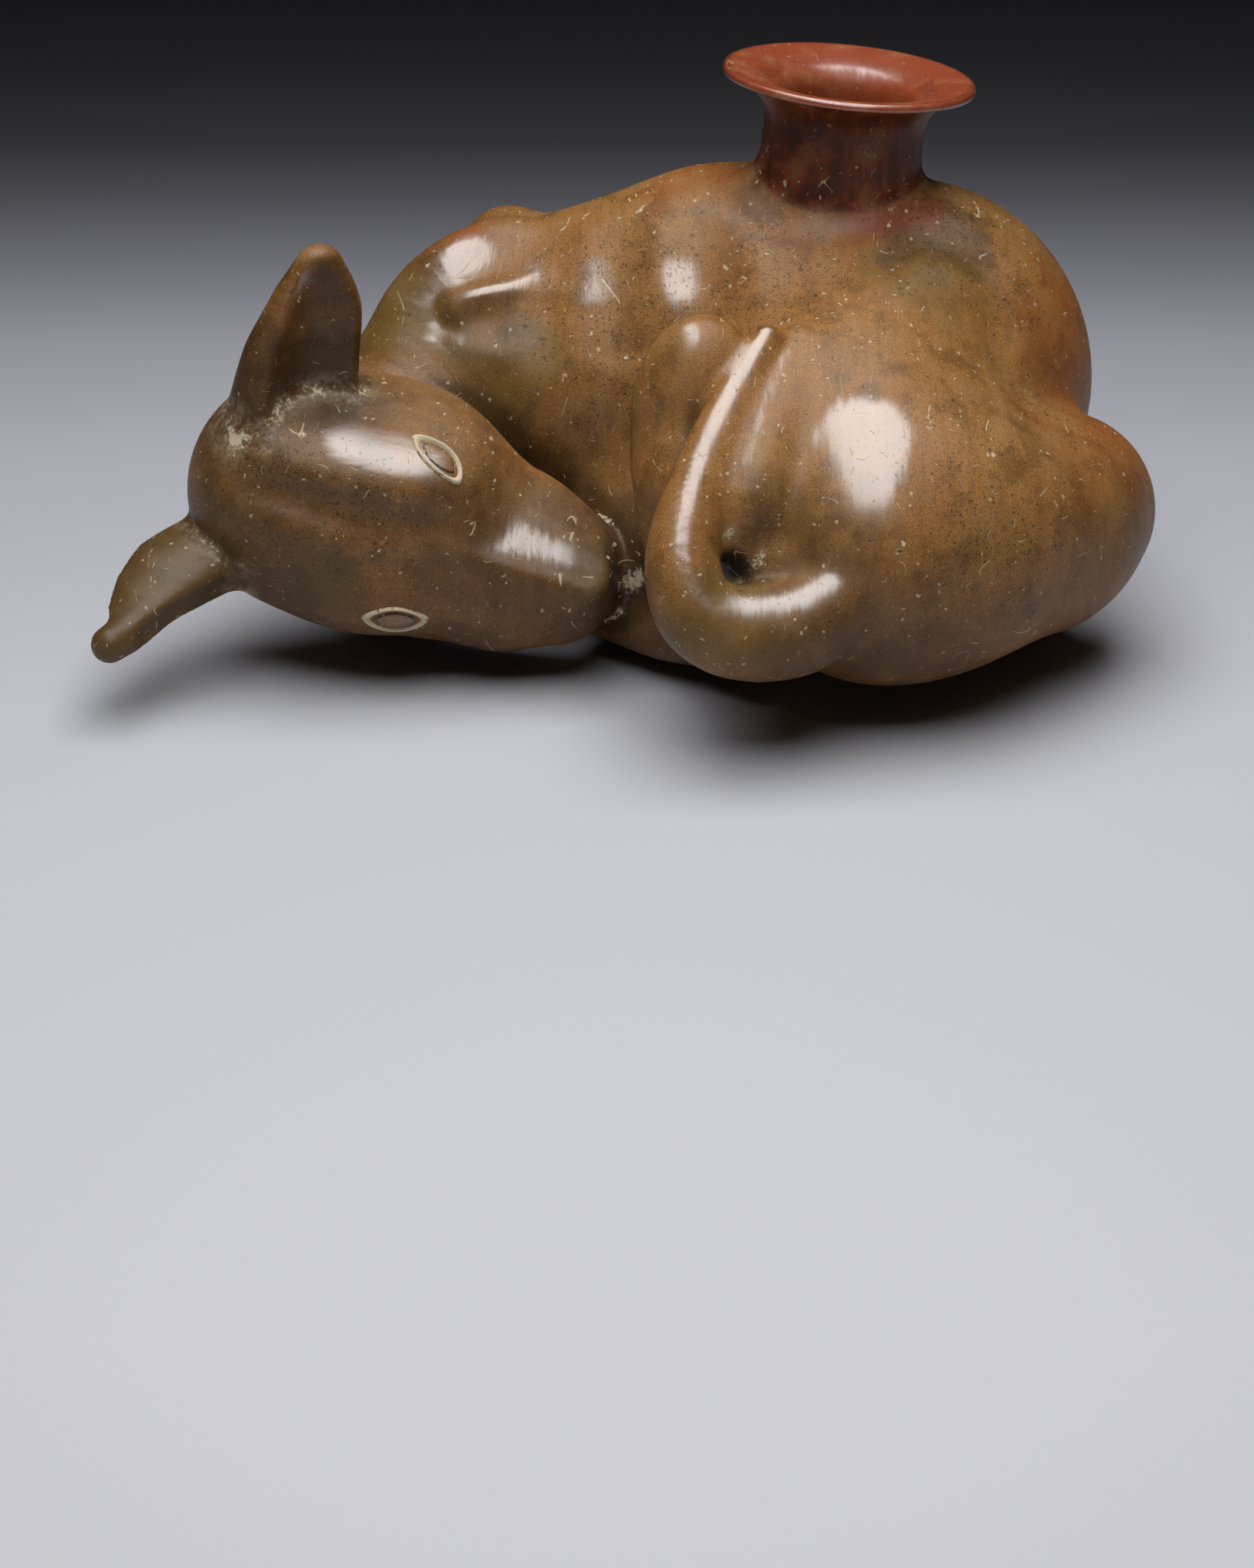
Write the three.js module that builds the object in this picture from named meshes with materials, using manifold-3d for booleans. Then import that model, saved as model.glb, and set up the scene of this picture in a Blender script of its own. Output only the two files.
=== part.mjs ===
// A hollow clay vessel in the shape of a dog curled up asleep, with a flared spout on its loin.
// Every piece is a body of clay that the potter formed by hand and luted to its neighbours.
// Millimetres, +Z up. Before the last step X runs from the dog's ear to its knee, and the ground is z = 0.
import * as THREE from "three";
import { mergeVertices } from "three/addons/utils/BufferGeometryUtils.js";
import Module from "manifold-3d";

const wasm = await Module();
wasm.setup();

// Walls and joints
const wall = 5; // hollow body, neck and head
const floorThickness = 6; // clay under the chamber
const joint = 0.3; // gap left at each luted joint
const dishHeight = 34; // rim of the base dish
const bodySeamAngle = -24; // degrees that the seam between chest and rump is turned from the YZ plane
const bodySeamOffset = -8; // distance of that seam from the frame's Z axis

// Body: lumps of clay, each with a centre and its half sizes. A lump may lean forward, in degrees.
const loin = { centre: [84, 58, 71], half: [60, 58, 62] };
const croup = { centre: [66, 0, 66], half: [48, 52, 50], lean: 8 };
const flank = { centre: [32, 66, 76], half: [60, 50, 60] };
const chest = { centre: [-24, 68, 66], half: [50, 45, 50] };
const belly = { centre: [46, 30, 30], half: [66, 54, 37] };
const croupBlend = 30;
const flankBlend = 25;
const bellyBlend = 20;
const bodyHeart = [45, 42, 66]; // point from which every wall of the body is seen

// Neck: a tapered tube from the chest to the head
const neckPath = [[-48, 62, 71], [-75, 36, 59], [-94, 6, 50]];
const neckRadii = [29, 23, 20];

// Head: its own axes run along the nose, across to the left cheek and up through the brow
const headCentre = [-96, -3, 56];
const noseDirection = [91, -20, -18.5];
const browDirection = [0, -0.982, 0.191];
const cranium = { centre: [0, 1, -3], half: [37, 36.5, 32] };
const cheeks = { centre: [22, 2.5, -10], half: [41, 38.5, 33] };
const leftTemple = { centre: [17, 15.5, 8], half: [30, 13, 17] };
const rightTemple = { centre: [21, -17, 6], half: [30, 18, 14] };
const templeSide = { facing: [0.05, 0.865, 0.5], place: [0, 26.9, 15.5] }; // flat over the left eye
const leftCheek = {
  path: [[44, 0, -12], [62, -1, -12], [73, -3, -12]],
  radii: [29, 26.5, 20.5],
  flatness: 0.58,
};
const cheekSide = { facing: [0.29, 0.865, 0.5], place: [62, 12, 7.3] }; // flat under the left eye
const rightCheek = { path: [[44, -12, -8], [62, -12, -8], [78, -9, -9]], radii: [21, 20, 16.5] };
const bridge = { path: [[40, -1, 4], [84, -3, -1]], radii: [17, 12] };
const bridgeCrest = [44, -1, 17]; // a place on the sharp line of the nose, where its two flats meet
const bridgeFlats = [[0.25, 1, 1], [0.17, -0.25, 1]];
const foreheadGroovePath = [[-40, 4, 22], [-20, 5, 30], [12, 3, 30], [40, 3, 25]];
const foreheadGrooveRadii = [3, 3, 3, 2];
const jaw = { centre: [52, -5, -19], half: [47, 26, 13] };
const skullBlend = 10;
const snoutBlend = 7;
const bridgeBlend = 5;
const bridgeEdge = 2;
const flatEdge = 7;
const templeBlend = 6;
const foreheadBlend = 8;
const headHeart = [18, 0, -6]; // point from which every wall of the head is seen
const muzzleSeam = 48; // distance of the muzzle's joint from the head's centre

// Eyes: almond pellets pressed on beside the temples
const eyeHalf = [9, 5, 3.6];
const eyeSlant = 36; // degrees from the line of the nose
const leftEyeDirection = [38.8, 26, 14];
const rightEyeDirection = [34.6, -28.3, 2];
const eyeProud = 1.6; // height of the pellet over the skin

// Ears: tapered rolls of clay pressed hollow on one side
const leftEar = {
  path: [[-99.5, 0.5, 80], [-97, 0.5, 96], [-92.5, 0.5, 113], [-91, 0.5, 126]],
  radii: [21, 19, 14, 7.5],
  face: [0.8, -1, 0],
  flatness: 0.85,
  cupPath: [[-84, -18, 80], [-83, -17, 100], [-85, -12, 121]],
  cupRadii: [16, 14, 8],
};
const rightEar = {
  path: [[-119, -12, 41], [-129, -20, 37.5], [-139.5, -31, 31.5], [-152, -45, 26.5]],
  radii: [12, 14, 11, 6.5],
  face: [0.15, -0.3, 1],
  flatness: 0.55,
  cupPath: [[-122, -18, 52], [-133, -26, 48], [-143, -35, 42]],
  cupRadii: [9, 9, 6],
};

// Spout: a tube over the mouth hole, opening into a flared rim
const spoutFoot = [64, 60, 130];
const spoutLean = [0.12, 0.03, 1];
const spoutSocket = 14; // length of tube that is shaped to the body below the spout's foot
const neckTubeRadius = 24.5;
const neckTubeHeight = 17;
const boreRadius = neckTubeRadius - wall;
const rimHeight = 37.5;
const rimRadius = 38.5;
const rimLip = 2; // roundness of the lip
const rimDish = rimRadius - rimLip - boreRadius; // how far the inside of the flare opens past the bore

// Tail: a roll that lies in a loop over the rump, given from its tip
const tailPath = [
  [42.2, -18, 111.5], [33, -34, 98.5], [24, -50, 85.8], [17.7, -65, 72.9], [16.2, -72, 61.6],
  [19.5, -75, 49.8], [27.7, -74, 42], [38.1, -72, 39.6], [48.7, -70, 41.2], [58.2, -67, 46.8],
  [64.7, -61, 54.6], [68, -52, 62.8],
];
const tailRadii = [4.5, 8, 9.5, 10, 11, 12.5, 14, 14.5, 14.5, 14, 13, 12];

// Legs: pads and rolls luted to the body
const buttock = { centre: [76, -22, 57], half: [46, 55, 41], lean: 33 };
const kneePath = [[130, 8, 47], [120, -6, 48], [98, -26, 52], [74, -34, 55]];
const kneeRadii = [31, 34, 34, 33];
const thighBlend = 20;
const thighHeart = [92, -22, 60];
const leftKnee = { centre: [22, -18, 86], half: [21, 16, 32] };
const leftShankPath = [[20, -26, 70], [19, -20, 44], [20, -16, 26]];
const leftShankRadii = [18, 15, 11];
const leftThighBlend = 8;
const leftThighHeart = [21, -19, 72];
const leftFoot = { path: [[36, -24, 20], [12, -8, 16], [-8, 8, 14]], radii: [12, 11, 8] };
const rightFoot = { path: [[132, 20, 22], [116, 52, 15], [92, 80, 14]], radii: [12, 11, 9] };
const leftShoulder = {
  path: [[-68, 51, 82], [-62, 57, 94], [-52, 61, 103], [-40, 67, 107]],
  radii: [14, 13, 12.5, 12],
};
const rightShoulder = {
  path: [[-60, 92, 44], [-62, 92, 62], [-54, 90, 84], [-38, 88, 104]],
  radii: [13, 15, 14, 12],
};
const leftForeleg = { path: [[-60, 46, 36], [-72, 36, 22], [-74, 20, 13]], radii: [12, 10, 9] };
const rightForeleg = { path: [[-62, 92, 34], [-76, 76, 20], [-86, 52, 13]], radii: [13, 11, 10] };

// Colours of the fired slip
const slip = {
  tan: new THREE.MeshStandardMaterial({ color: "#8a5b36", roughness: 0.34, metalness: 0 }),
  umber: new THREE.MeshStandardMaterial({ color: "#74482f", roughness: 0.36, metalness: 0 }),
  olive: new THREE.MeshStandardMaterial({ color: "#776336", roughness: 0.34, metalness: 0 }),
  red: new THREE.MeshStandardMaterial({ color: "#9a3b25", roughness: 0.38, metalness: 0 }),
};

// A form is a distance: below zero inside the clay, zero on its skin
const point = (values) => new THREE.Vector3(...values);

function lumpForm({ centre, half, lean = 0 }) {
  const middle = point(centre);
  const size = point(half);
  const across = new THREE.Vector3(1, 0, 0);
  const turn = -THREE.MathUtils.degToRad(lean);
  return (p) => {
    const q = p.clone().sub(middle).applyAxisAngle(across, turn).divide(size);
    const steepness = q.clone().divide(size).length();
    return (q.length() * (q.length() - 1)) / Math.max(steepness, 1e-9);
  };
}

// Half space behind a plane that faces outwards through a place
function flatForm(facing, place) {
  const outward = point(facing).normalize();
  const reach = outward.dot(point(place));
  return (p) => outward.dot(p) - reach;
}

function rollForm(path, radii, flatness = 1) {
  const nodes = path.map(point);
  return (p) => {
    let nearest = Infinity;
    for (let i = 0; i + 1 < nodes.length; i++) {
      const span = nodes[i + 1].clone().sub(nodes[i]);
      const reach = p.clone().sub(nodes[i]);
      reach.z /= flatness;
      const share = THREE.MathUtils.clamp(reach.dot(span) / span.lengthSq(), 0, 1);
      const radius = THREE.MathUtils.lerp(radii[i], radii[i + 1], share);
      nearest = Math.min(nearest, reach.addScaledVector(span, -share).length() - radius);
    }
    return nearest;
  };
}

// Smooth union of two distances, with the join filled over the width given by blend
function smoothUnion(a, b, blend) {
  const overlap = Math.max(blend - Math.abs(a - b), 0) / blend;
  return Math.min(a, b) - (overlap * overlap * blend) / 4;
}

const knead = (blend, first, second) => (p) => smoothUnion(first(p), second(p), blend);
const common = (blend, first, second) => (p) => -smoothUnion(-first(p), -second(p), blend);
const press = (blend, clay, tool) => (p) => -smoothUnion(-clay(p), tool(p), blend);

// The clay of a form seen from one point inside it: a ball whose skin is pushed out to the form's skin.
// grow moves the skin outwards, and the ball's poles lie along the axis.
function ball(form, heart, { grow = 0, around = 24, along = 16, axis = [0, 0, 1] } = {}) {
  const geometry = new THREE.SphereGeometry(1, around, along);
  const turn = new THREE.Quaternion().setFromUnitVectors(new THREE.Vector3(0, 1, 0), point(axis).normalize());
  const places = geometry.getAttribute("position");
  const origin = point(heart);
  const direction = new THREE.Vector3();
  const probe = new THREE.Vector3();
  const outside = (reach) => form(probe.copy(origin).addScaledVector(direction, reach)) > grow;
  for (let i = 0; i < places.count; i++) {
    direction.fromBufferAttribute(places, i).normalize().applyQuaternion(turn);
    let far = 1;
    while (!outside(far)) far += 1;
    let near = far - 1;
    for (let halving = 0; halving < 16; halving++) {
      const middle = (near + far) / 2;
      if (outside(middle)) far = middle;
      else near = middle;
    }
    places.setXYZ(i, ...probe.copy(origin).addScaledVector(direction, near).toArray());
  }
  return solidOf(geometry);
}

// A roll of clay: a capsule bent along a smooth path, with a radius that changes along it.
// Its section is flattened across the face direction.
function roll(path, radii, { grow = 0, face = [0.3, 1, 0.2], flatness = 1, around = 12, steps = 10 } = {}) {
  const curve = new THREE.CatmullRomCurve3(path.map(point), false, "centripetal");
  const geometry = new THREE.CapsuleGeometry(1, 2, 3, around, steps);
  const places = geometry.getAttribute("position");
  const radiusAt = (share) => {
    const place = share * (radii.length - 1);
    const index = Math.min(Math.floor(place), radii.length - 2);
    return THREE.MathUtils.lerp(radii[index], radii[index + 1], place - index) + grow;
  };
  for (let i = 0; i < places.count; i++) {
    const [x, y, z] = [places.getX(i), places.getY(i), places.getZ(i)];
    const onAxis = THREE.MathUtils.clamp(y, -1, 1);
    const share = (onAxis + 1) / 2;
    const tangent = curve.getTangent(share);
    const up = point(face).addScaledVector(tangent, -point(face).dot(tangent)).normalize();
    const side = new THREE.Vector3().crossVectors(tangent, up);
    const place = curve.getPoint(share);
    const radius = radiusAt(share);
    place.addScaledVector(tangent, (y - onAxis) * radius);
    place.addScaledVector(side, x * radius);
    place.addScaledVector(up, z * (radius - grow) * flatness + z * grow);
    places.setXYZ(i, ...place.toArray());
  }
  return solidOf(geometry);
}

// A turned form round the spout's axis, from [radius, height] pairs that start and end on the axis or close
function turned(profile, around = 32) {
  const geometry = new THREE.LatheGeometry(profile.map((pair) => new THREE.Vector2(...pair)), around);
  const axis = point(spoutLean).normalize();
  geometry.applyQuaternion(new THREE.Quaternion().setFromUnitVectors(new THREE.Vector3(0, 1, 0), axis));
  geometry.translate(...spoutFoot);
  return solidOf(geometry);
}

function solidOf(geometry) {
  const bare = new THREE.BufferGeometry();
  bare.setAttribute("position", geometry.getAttribute("position"));
  bare.setIndex(geometry.getIndex());
  const merged = mergeVertices(bare, 1e-4);
  const vertProperties = new Float32Array(merged.getAttribute("position").array);
  const triVerts = new Uint32Array(merged.getIndex().array);
  const solid = new wasm.Manifold(new wasm.Mesh({ numProp: 3, vertProperties, triVerts }));
  return solid.volume() < 0 ? flipped(merged) : solid;
}

function flipped(merged) {
  const triVerts = new Uint32Array(merged.getIndex().array).reverse();
  const vertProperties = new Float32Array(merged.getAttribute("position").array);
  return new wasm.Manifold(new wasm.Mesh({ numProp: 3, vertProperties, triVerts }));
}

// One body of clay: the crumbs that a cut leaves at its edge are wiped off
function wiped(solid) {
  const bodies = solid.decompose();
  return bodies.reduce((largest, body) => (body.volume() > largest.volume() ? body : largest));
}

function cutBy(solid, ...tools) {
  return wiped(tools.reduce((rest, tool) => rest.subtract(tool), solid));
}

const vessel = new THREE.Group();

function addPiece(name, solid, material) {
  const { vertProperties, triVerts } = solid.getMesh();
  const geometry = new THREE.BufferGeometry();
  geometry.setAttribute("position", new THREE.BufferAttribute(vertProperties, 3));
  geometry.setIndex(new THREE.BufferAttribute(triVerts, 1));
  geometry.computeVertexNormals();
  const mesh = new THREE.Mesh(geometry, material);
  mesh.name = name;
  vessel.add(mesh);
}

// Half spaces for the cuts
const groundCut = (solid, height = 0) => solid.trimByPlane([0, 0, 1], height);
const seamTurn = THREE.MathUtils.degToRad(bodySeamAngle);
const bodySeamNormal = [Math.cos(seamTurn), Math.sin(seamTurn), 0];
const opposite = (direction) => direction.map((value) => -value);

// Body
const bodyForm = knead(
  bellyBlend,
  knead(
    flankBlend,
    knead(flankBlend, knead(croupBlend, lumpForm(loin), lumpForm(croup)), lumpForm(flank)),
    lumpForm(chest),
  ),
  lumpForm(belly),
);
const bodySkin = { around: 36, along: 22 };
const body = groundCut(ball(bodyForm, bodyHeart, bodySkin));
const bodyRoom = groundCut(ball(bodyForm, bodyHeart, { ...bodySkin, grow: joint }), -joint);
const chamber = groundCut(ball(bodyForm, bodyHeart, { grow: -wall, around: 28, along: 16 }), floorThickness);

// Head
const noseAxis = point(noseDirection).normalize();
const browAxis = point(browDirection);
browAxis.addScaledVector(noseAxis, -browAxis.dot(noseAxis)).normalize();
const leftAxis = new THREE.Vector3().crossVectors(browAxis, noseAxis);
const headAxes = new THREE.Matrix4().makeBasis(noseAxis, leftAxis, browAxis);
const onHead = (place) => point(place).applyMatrix4(headAxes).add(point(headCentre)).toArray();
const headAxesBack = headAxes.clone().transpose();
const inHead = (form) => (p) => form(p.clone().sub(point(headCentre)).applyMatrix4(headAxesBack));

const skullForm = knead(skullBlend, lumpForm(cranium), lumpForm(cheeks));
const templeForm = knead(templeBlend, lumpForm(leftTemple), lumpForm(rightTemple));
const flatTemple = flatForm(templeSide.facing, templeSide.place);
const backForm = common(flatEdge, knead(templeBlend, skullForm, templeForm), flatTemple);
const cheekRoll = ({ path, radii, flatness }) => rollForm(path, radii, flatness);
const leftCheekForm = common(flatEdge, cheekRoll(leftCheek), flatForm(cheekSide.facing, cheekSide.place));
const [leftFlat, rightFlat] = bridgeFlats.map((facing) => flatForm(facing, bridgeCrest));
const bridgeForm = common(bridgeEdge, cheekRoll(bridge), common(bridgeEdge, leftFlat, rightFlat));
const snoutForm = knead(bridgeBlend, knead(skullBlend, leftCheekForm, cheekRoll(rightCheek)), bridgeForm);
const plainHead = knead(snoutBlend, backForm, snoutForm);
const foreheadGroove = rollForm(foreheadGroovePath, foreheadGrooveRadii);
const headForm = inHead(press(foreheadBlend, plainHead, foreheadGroove));
const headSkin = { around: 24, along: 20, axis: noseDirection };
const head = ball(headForm, onHead(headHeart), headSkin);
const headRoom = ball(headForm, onHead(headHeart), { ...headSkin, grow: joint });
const headHollow = ball(headForm, onHead(headHeart), { ...headSkin, grow: -wall, around: 16, along: 12 });
const muzzleSeamPlace = point(onHead([muzzleSeam, 0, 0])).dot(noseAxis);
const nose = noseAxis.toArray();

const jawSkin = { around: 16, along: 12, axis: noseDirection };
const jawForm = inHead(lumpForm(jaw));
const jawClay = ball(jawForm, onHead(jaw.centre), jawSkin);
const jawRoom = ball(jawForm, onHead(jaw.centre), { ...jawSkin, grow: joint });

// Neck
const neckBore = roll(neckPath, neckRadii.map((radius) => radius - wall), { steps: 6 });
const neck = roll(neckPath, neckRadii, { around: 18, steps: 6 });
const neckRoom = roll(neckPath, neckRadii, { around: 18, steps: 6, grow: joint });

// Spout: the flare is a parabola that starts where the neck tube ends
function spoutProfile() {
  const flare = (height, from, opening) => {
    const share = THREE.MathUtils.clamp((height - neckTubeHeight) / (rimHeight - neckTubeHeight), 0, 1);
    return from + share * share * opening;
  };
  const foot = neckTubeHeight + joint;
  const heights = [0, 0.25, 0.5, 0.75, 0.9].map((share) => foot + share * (rimHeight - rimLip - foot));
  const opening = rimRadius - neckTubeRadius;
  const outside = heights.map((height) => [flare(height, neckTubeRadius, opening), height]);
  const inside = heights.map((height) => [flare(height, boreRadius, rimDish), height]).reverse();
  const lip = [
    [rimRadius, rimHeight - rimLip],
    [rimRadius - rimLip * 0.3, rimHeight - rimLip * 0.3],
    [rimRadius - rimLip, rimHeight],
  ];
  return [...outside, ...lip, ...inside, outside[0]];
}

const spoutNeckProfile = [
  [boreRadius, -spoutSocket],
  [neckTubeRadius, -spoutSocket],
  [neckTubeRadius, neckTubeHeight],
  [boreRadius, neckTubeHeight],
  [boreRadius, -spoutSocket],
];
const boreDepth = 3 * spoutSocket;
const borePlug = turned([[0, -boreDepth], [boreRadius, -boreDepth], [boreRadius, rimHeight], [0, rimHeight]]);

// Legs and tail
const thighForm = knead(thighBlend, lumpForm(buttock), rollForm(kneePath, kneeRadii));
const leftThighForm = knead(leftThighBlend, lumpForm(leftKnee), rollForm(leftShankPath, leftShankRadii));
const tailSkin = { around: 12, steps: 30 };
const tail = roll(tailPath, tailRadii, tailSkin);
const tailRoom = roll(tailPath, tailRadii, { ...tailSkin, grow: joint });
const thighSkin = { around: 26, along: 18, axis: [1, 0, 0] };
const thigh = ball(thighForm, thighHeart, thighSkin);
const thighRoom = ball(thighForm, thighHeart, { ...thighSkin, grow: joint });
const thighHollow = ball(thighForm, thighHeart, { axis: [1, 0, 0], around: 18, along: 12, grow: -wall });
const leftThighSkin = { around: 16, along: 12 };
const leftThigh = ball(leftThighForm, leftThighHeart, leftThighSkin);
const leftThighRoom = ball(leftThighForm, leftThighHeart, { ...leftThighSkin, grow: joint });

function addBody() {
  const shell = body.subtract(chamber);
  const half = joint / 2;
  const low = shell.trimByPlane([0, 0, -1], -(dishHeight - half));
  const high = shell.trimByPlane([0, 0, 1], dishHeight + half);
  const hind = high.trimByPlane(bodySeamNormal, bodySeamOffset + half);
  const front = high.trimByPlane(opposite(bodySeamNormal), -(bodySeamOffset - half));
  addPiece("base_dish", wiped(low), slip.umber);
  addPiece("rump_shell", cutBy(hind, borePlug), slip.tan);
  addPiece("chest_shell", cutBy(front, neckBore), slip.tan);
  addPiece("neck_shell", cutBy(neck, neckBore, bodyRoom, headRoom), slip.umber);
}

function addHead() {
  const half = joint / 2;
  const hollow = head.subtract(headHollow);
  const skull = hollow.trimByPlane(opposite(nose), -(muzzleSeamPlace - half));
  const muzzle = hollow.trimByPlane(nose, muzzleSeamPlace + half);
  addPiece("skull_shell", cutBy(skull, neckBore, bodyRoom), slip.umber);
  addPiece("muzzle", cutBy(muzzle, bodyRoom), slip.tan);
  addPiece("lower_jaw", cutBy(jawClay, headRoom, bodyRoom), slip.umber);
}

function addEye(name, direction) {
  const outwards = point(direction).sub(point(headHeart));
  const start = point(onHead(headHeart));
  const heading = outwards.clone().applyMatrix4(headAxes).normalize();
  let reach = 1;
  while (headForm(start.clone().addScaledVector(heading, reach)) < 0) reach += 0.1;
  const seat = start.addScaledVector(heading, reach + eyeProud - eyeHalf[2]);
  const turn = new THREE.Matrix4().lookAt(heading, new THREE.Vector3(), leftAxis);
  const geometry = new THREE.SphereGeometry(1, 14, 8).scale(...eyeHalf);
  geometry.rotateZ(THREE.MathUtils.degToRad(eyeSlant)).applyMatrix4(turn).translate(...seat.toArray());
  addPiece(name, cutBy(solidOf(geometry), headRoom), slip.olive);
}

function addEar(name, ear, material, ...neighbours) {
  const clay = roll(ear.path, ear.radii, { face: ear.face, flatness: ear.flatness, around: 16, steps: 9 });
  const cup = roll(ear.cupPath, ear.cupRadii, { around: 12, steps: 6 });
  addPiece(name, cutBy(clay, cup, headRoom, ...neighbours), material);
}

function addSpout() {
  addPiece("spout_neck", cutBy(turned(spoutNeckProfile), bodyRoom), slip.red);
  addPiece("spout_rim", turned(spoutProfile()), slip.red);
}

function addLimbs() {
  const limb = (name, { path, radii }, ...neighbours) =>
    addPiece(name, groundCut(cutBy(roll(path, radii), bodyRoom, ...neighbours)), slip.tan);
  addPiece("tail", groundCut(cutBy(tail, bodyRoom)), slip.tan);
  addPiece("right_thigh", groundCut(cutBy(thigh, thighHollow, bodyRoom, tailRoom)), slip.tan);
  addPiece("left_thigh", groundCut(cutBy(leftThigh, bodyRoom, tailRoom, thighRoom)), slip.umber);
  limb("left_hind_foot", leftFoot, tailRoom, leftThighRoom, thighRoom, headRoom, jawRoom);
  limb("right_hind_foot", rightFoot, thighRoom);
  limb("left_shoulder", leftShoulder, neckRoom);
  limb("right_shoulder", rightShoulder, neckRoom);
  const roomFor = ({ path, radii }) => roll(path, radii, { grow: joint });
  limb("left_foreleg", leftForeleg, neckRoom, headRoom, jawRoom, roomFor(leftShoulder));
  limb("right_foreleg", rightForeleg, neckRoom, roomFor(rightShoulder));
}

addBody();
addHead();
addEye("left_eye", leftEyeDirection);
addEye("right_eye", rightEyeDirection);
addEar("left_ear", leftEar, slip.umber, neckRoom);
addEar("right_ear", rightEar, slip.olive);
addSpout();
addLimbs();

// The frame's origin lies under the middle of the vessel, on the surface it rests on
const bounds = new THREE.Box3().setFromObject(vessel);
const middle = bounds.getCenter(new THREE.Vector3());
vessel.position.set(-middle.x, -middle.y, -bounds.min.z);
vessel.updateMatrixWorld(true);

export default vessel;
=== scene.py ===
# %% [markdown]
# A dog effigy vessel: a hollow pot of fired clay, shaped as a dog that sleeps curled up, with a flared
# spout on its loin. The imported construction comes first, as a fixed frame. Every piece made below stands in
# that frame, in metres, and was then fitted to one photograph. The side that the photograph hides is a
# guess.

# %% Load the frame
import bpy
import numpy as np
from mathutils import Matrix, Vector


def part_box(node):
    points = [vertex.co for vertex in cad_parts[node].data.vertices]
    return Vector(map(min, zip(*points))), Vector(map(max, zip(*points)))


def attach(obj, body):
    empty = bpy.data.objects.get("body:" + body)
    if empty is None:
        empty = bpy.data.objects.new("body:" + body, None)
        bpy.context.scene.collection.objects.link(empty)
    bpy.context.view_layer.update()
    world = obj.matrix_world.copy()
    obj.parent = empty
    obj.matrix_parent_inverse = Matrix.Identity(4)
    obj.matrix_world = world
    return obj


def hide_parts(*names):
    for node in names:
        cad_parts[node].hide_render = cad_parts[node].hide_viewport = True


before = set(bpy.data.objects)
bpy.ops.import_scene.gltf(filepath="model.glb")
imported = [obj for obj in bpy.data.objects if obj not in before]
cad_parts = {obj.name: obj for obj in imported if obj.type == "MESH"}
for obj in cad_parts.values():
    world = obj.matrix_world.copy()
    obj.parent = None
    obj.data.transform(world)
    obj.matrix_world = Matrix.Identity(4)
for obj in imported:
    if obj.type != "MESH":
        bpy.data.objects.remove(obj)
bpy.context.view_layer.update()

# %% [markdown]
# The potter's sizes are easiest to read in millimetres, with the ground at z = 0 and the spout's foot at
# the place below. The frame has its origin under the middle of the vessel, so one shift takes one to the
# other. The box of the spout's rim gives a check of it, seen from above: the rim's middle, worked out here,
# lies 1.3 mm to the side of the box's, because this spout leans about 2 degrees off the frame's, as fitted
# to the photograph. The box also holds the flare below the rim, so its middle is lower.

# %% Units and the shift into the frame
MM = 0.001
shift = np.array([-0.886, -14.775, 0.0])
spout_foot = np.array([64.0, 60.0, 130.0])
spout_axis = np.array([0.09, 0.05, 1.0]) / np.linalg.norm([0.09, 0.05, 1.0])
rim_height, rim_radius = 37.5, 38.5

rim_box = [np.array(corner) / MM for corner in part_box("spout_rim")]
rim_middle = spout_foot + spout_axis * (rim_height - 2) + shift
box_middle = (rim_box[0] + rim_box[1]) / 2
print("rim's middle, worked out:", rim_middle.round(1), "and the middle of its box:", box_middle.round(1))

# %% [markdown]
# The clay is described before it is meshed, by distances. A form is a function that gives, for an array of
# points, how far each lies outside the clay: below zero is inside. Lumps and rolls of clay are kneaded
# together with a smooth minimum, which fills the join as a wet thumb does, and tools are pressed in the
# opposite way. A box-modelled dog could be subdivided instead, but its joins would need many hand-placed
# loops.

# %% Forms of clay
def length(v):
    return np.sqrt(np.einsum("...i,...i->...", v, v))


def lump(p, centre, half, lean=0):
    """Ellipsoid: with q = (p - centre) / half, the distance is about |q| (|q| - 1) / |q / half|. lean tips it
    forward round the X axis, in degrees."""
    q = p - np.float32(centre)
    if lean:
        c, s = np.cos(np.radians(lean)), np.sin(np.radians(lean))
        q = q @ np.float32([[1, 0, 0], [0, c, -s], [0, s, c]])
    q = q / np.float32(half)
    reach = length(q)
    return reach * (reach - 1) / np.maximum(length(q / np.float32(half)), 1e-9)


def smooth_path(points, steps=5):
    """Catmull-Rom curve through the points: each span blends its ends and the slopes of their neighbours."""
    points = np.asarray(points, float)
    ends = np.vstack([2 * points[0] - points[1], points, 2 * points[-1] - points[-2]])
    t = np.linspace(0, 1, steps, endpoint=False)[:, None]
    spans = []
    for a, b, c, d in zip(ends[:-3], ends[1:-2], ends[2:-1], ends[3:]):
        spans.append(0.5 * (2 * b + (c - a) * t + (2 * a - 5 * b + 4 * c - d) * t**2
                            + (3 * b - a - 3 * c + d) * t**3))
    return np.vstack(spans + [points[-1:]])


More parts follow.
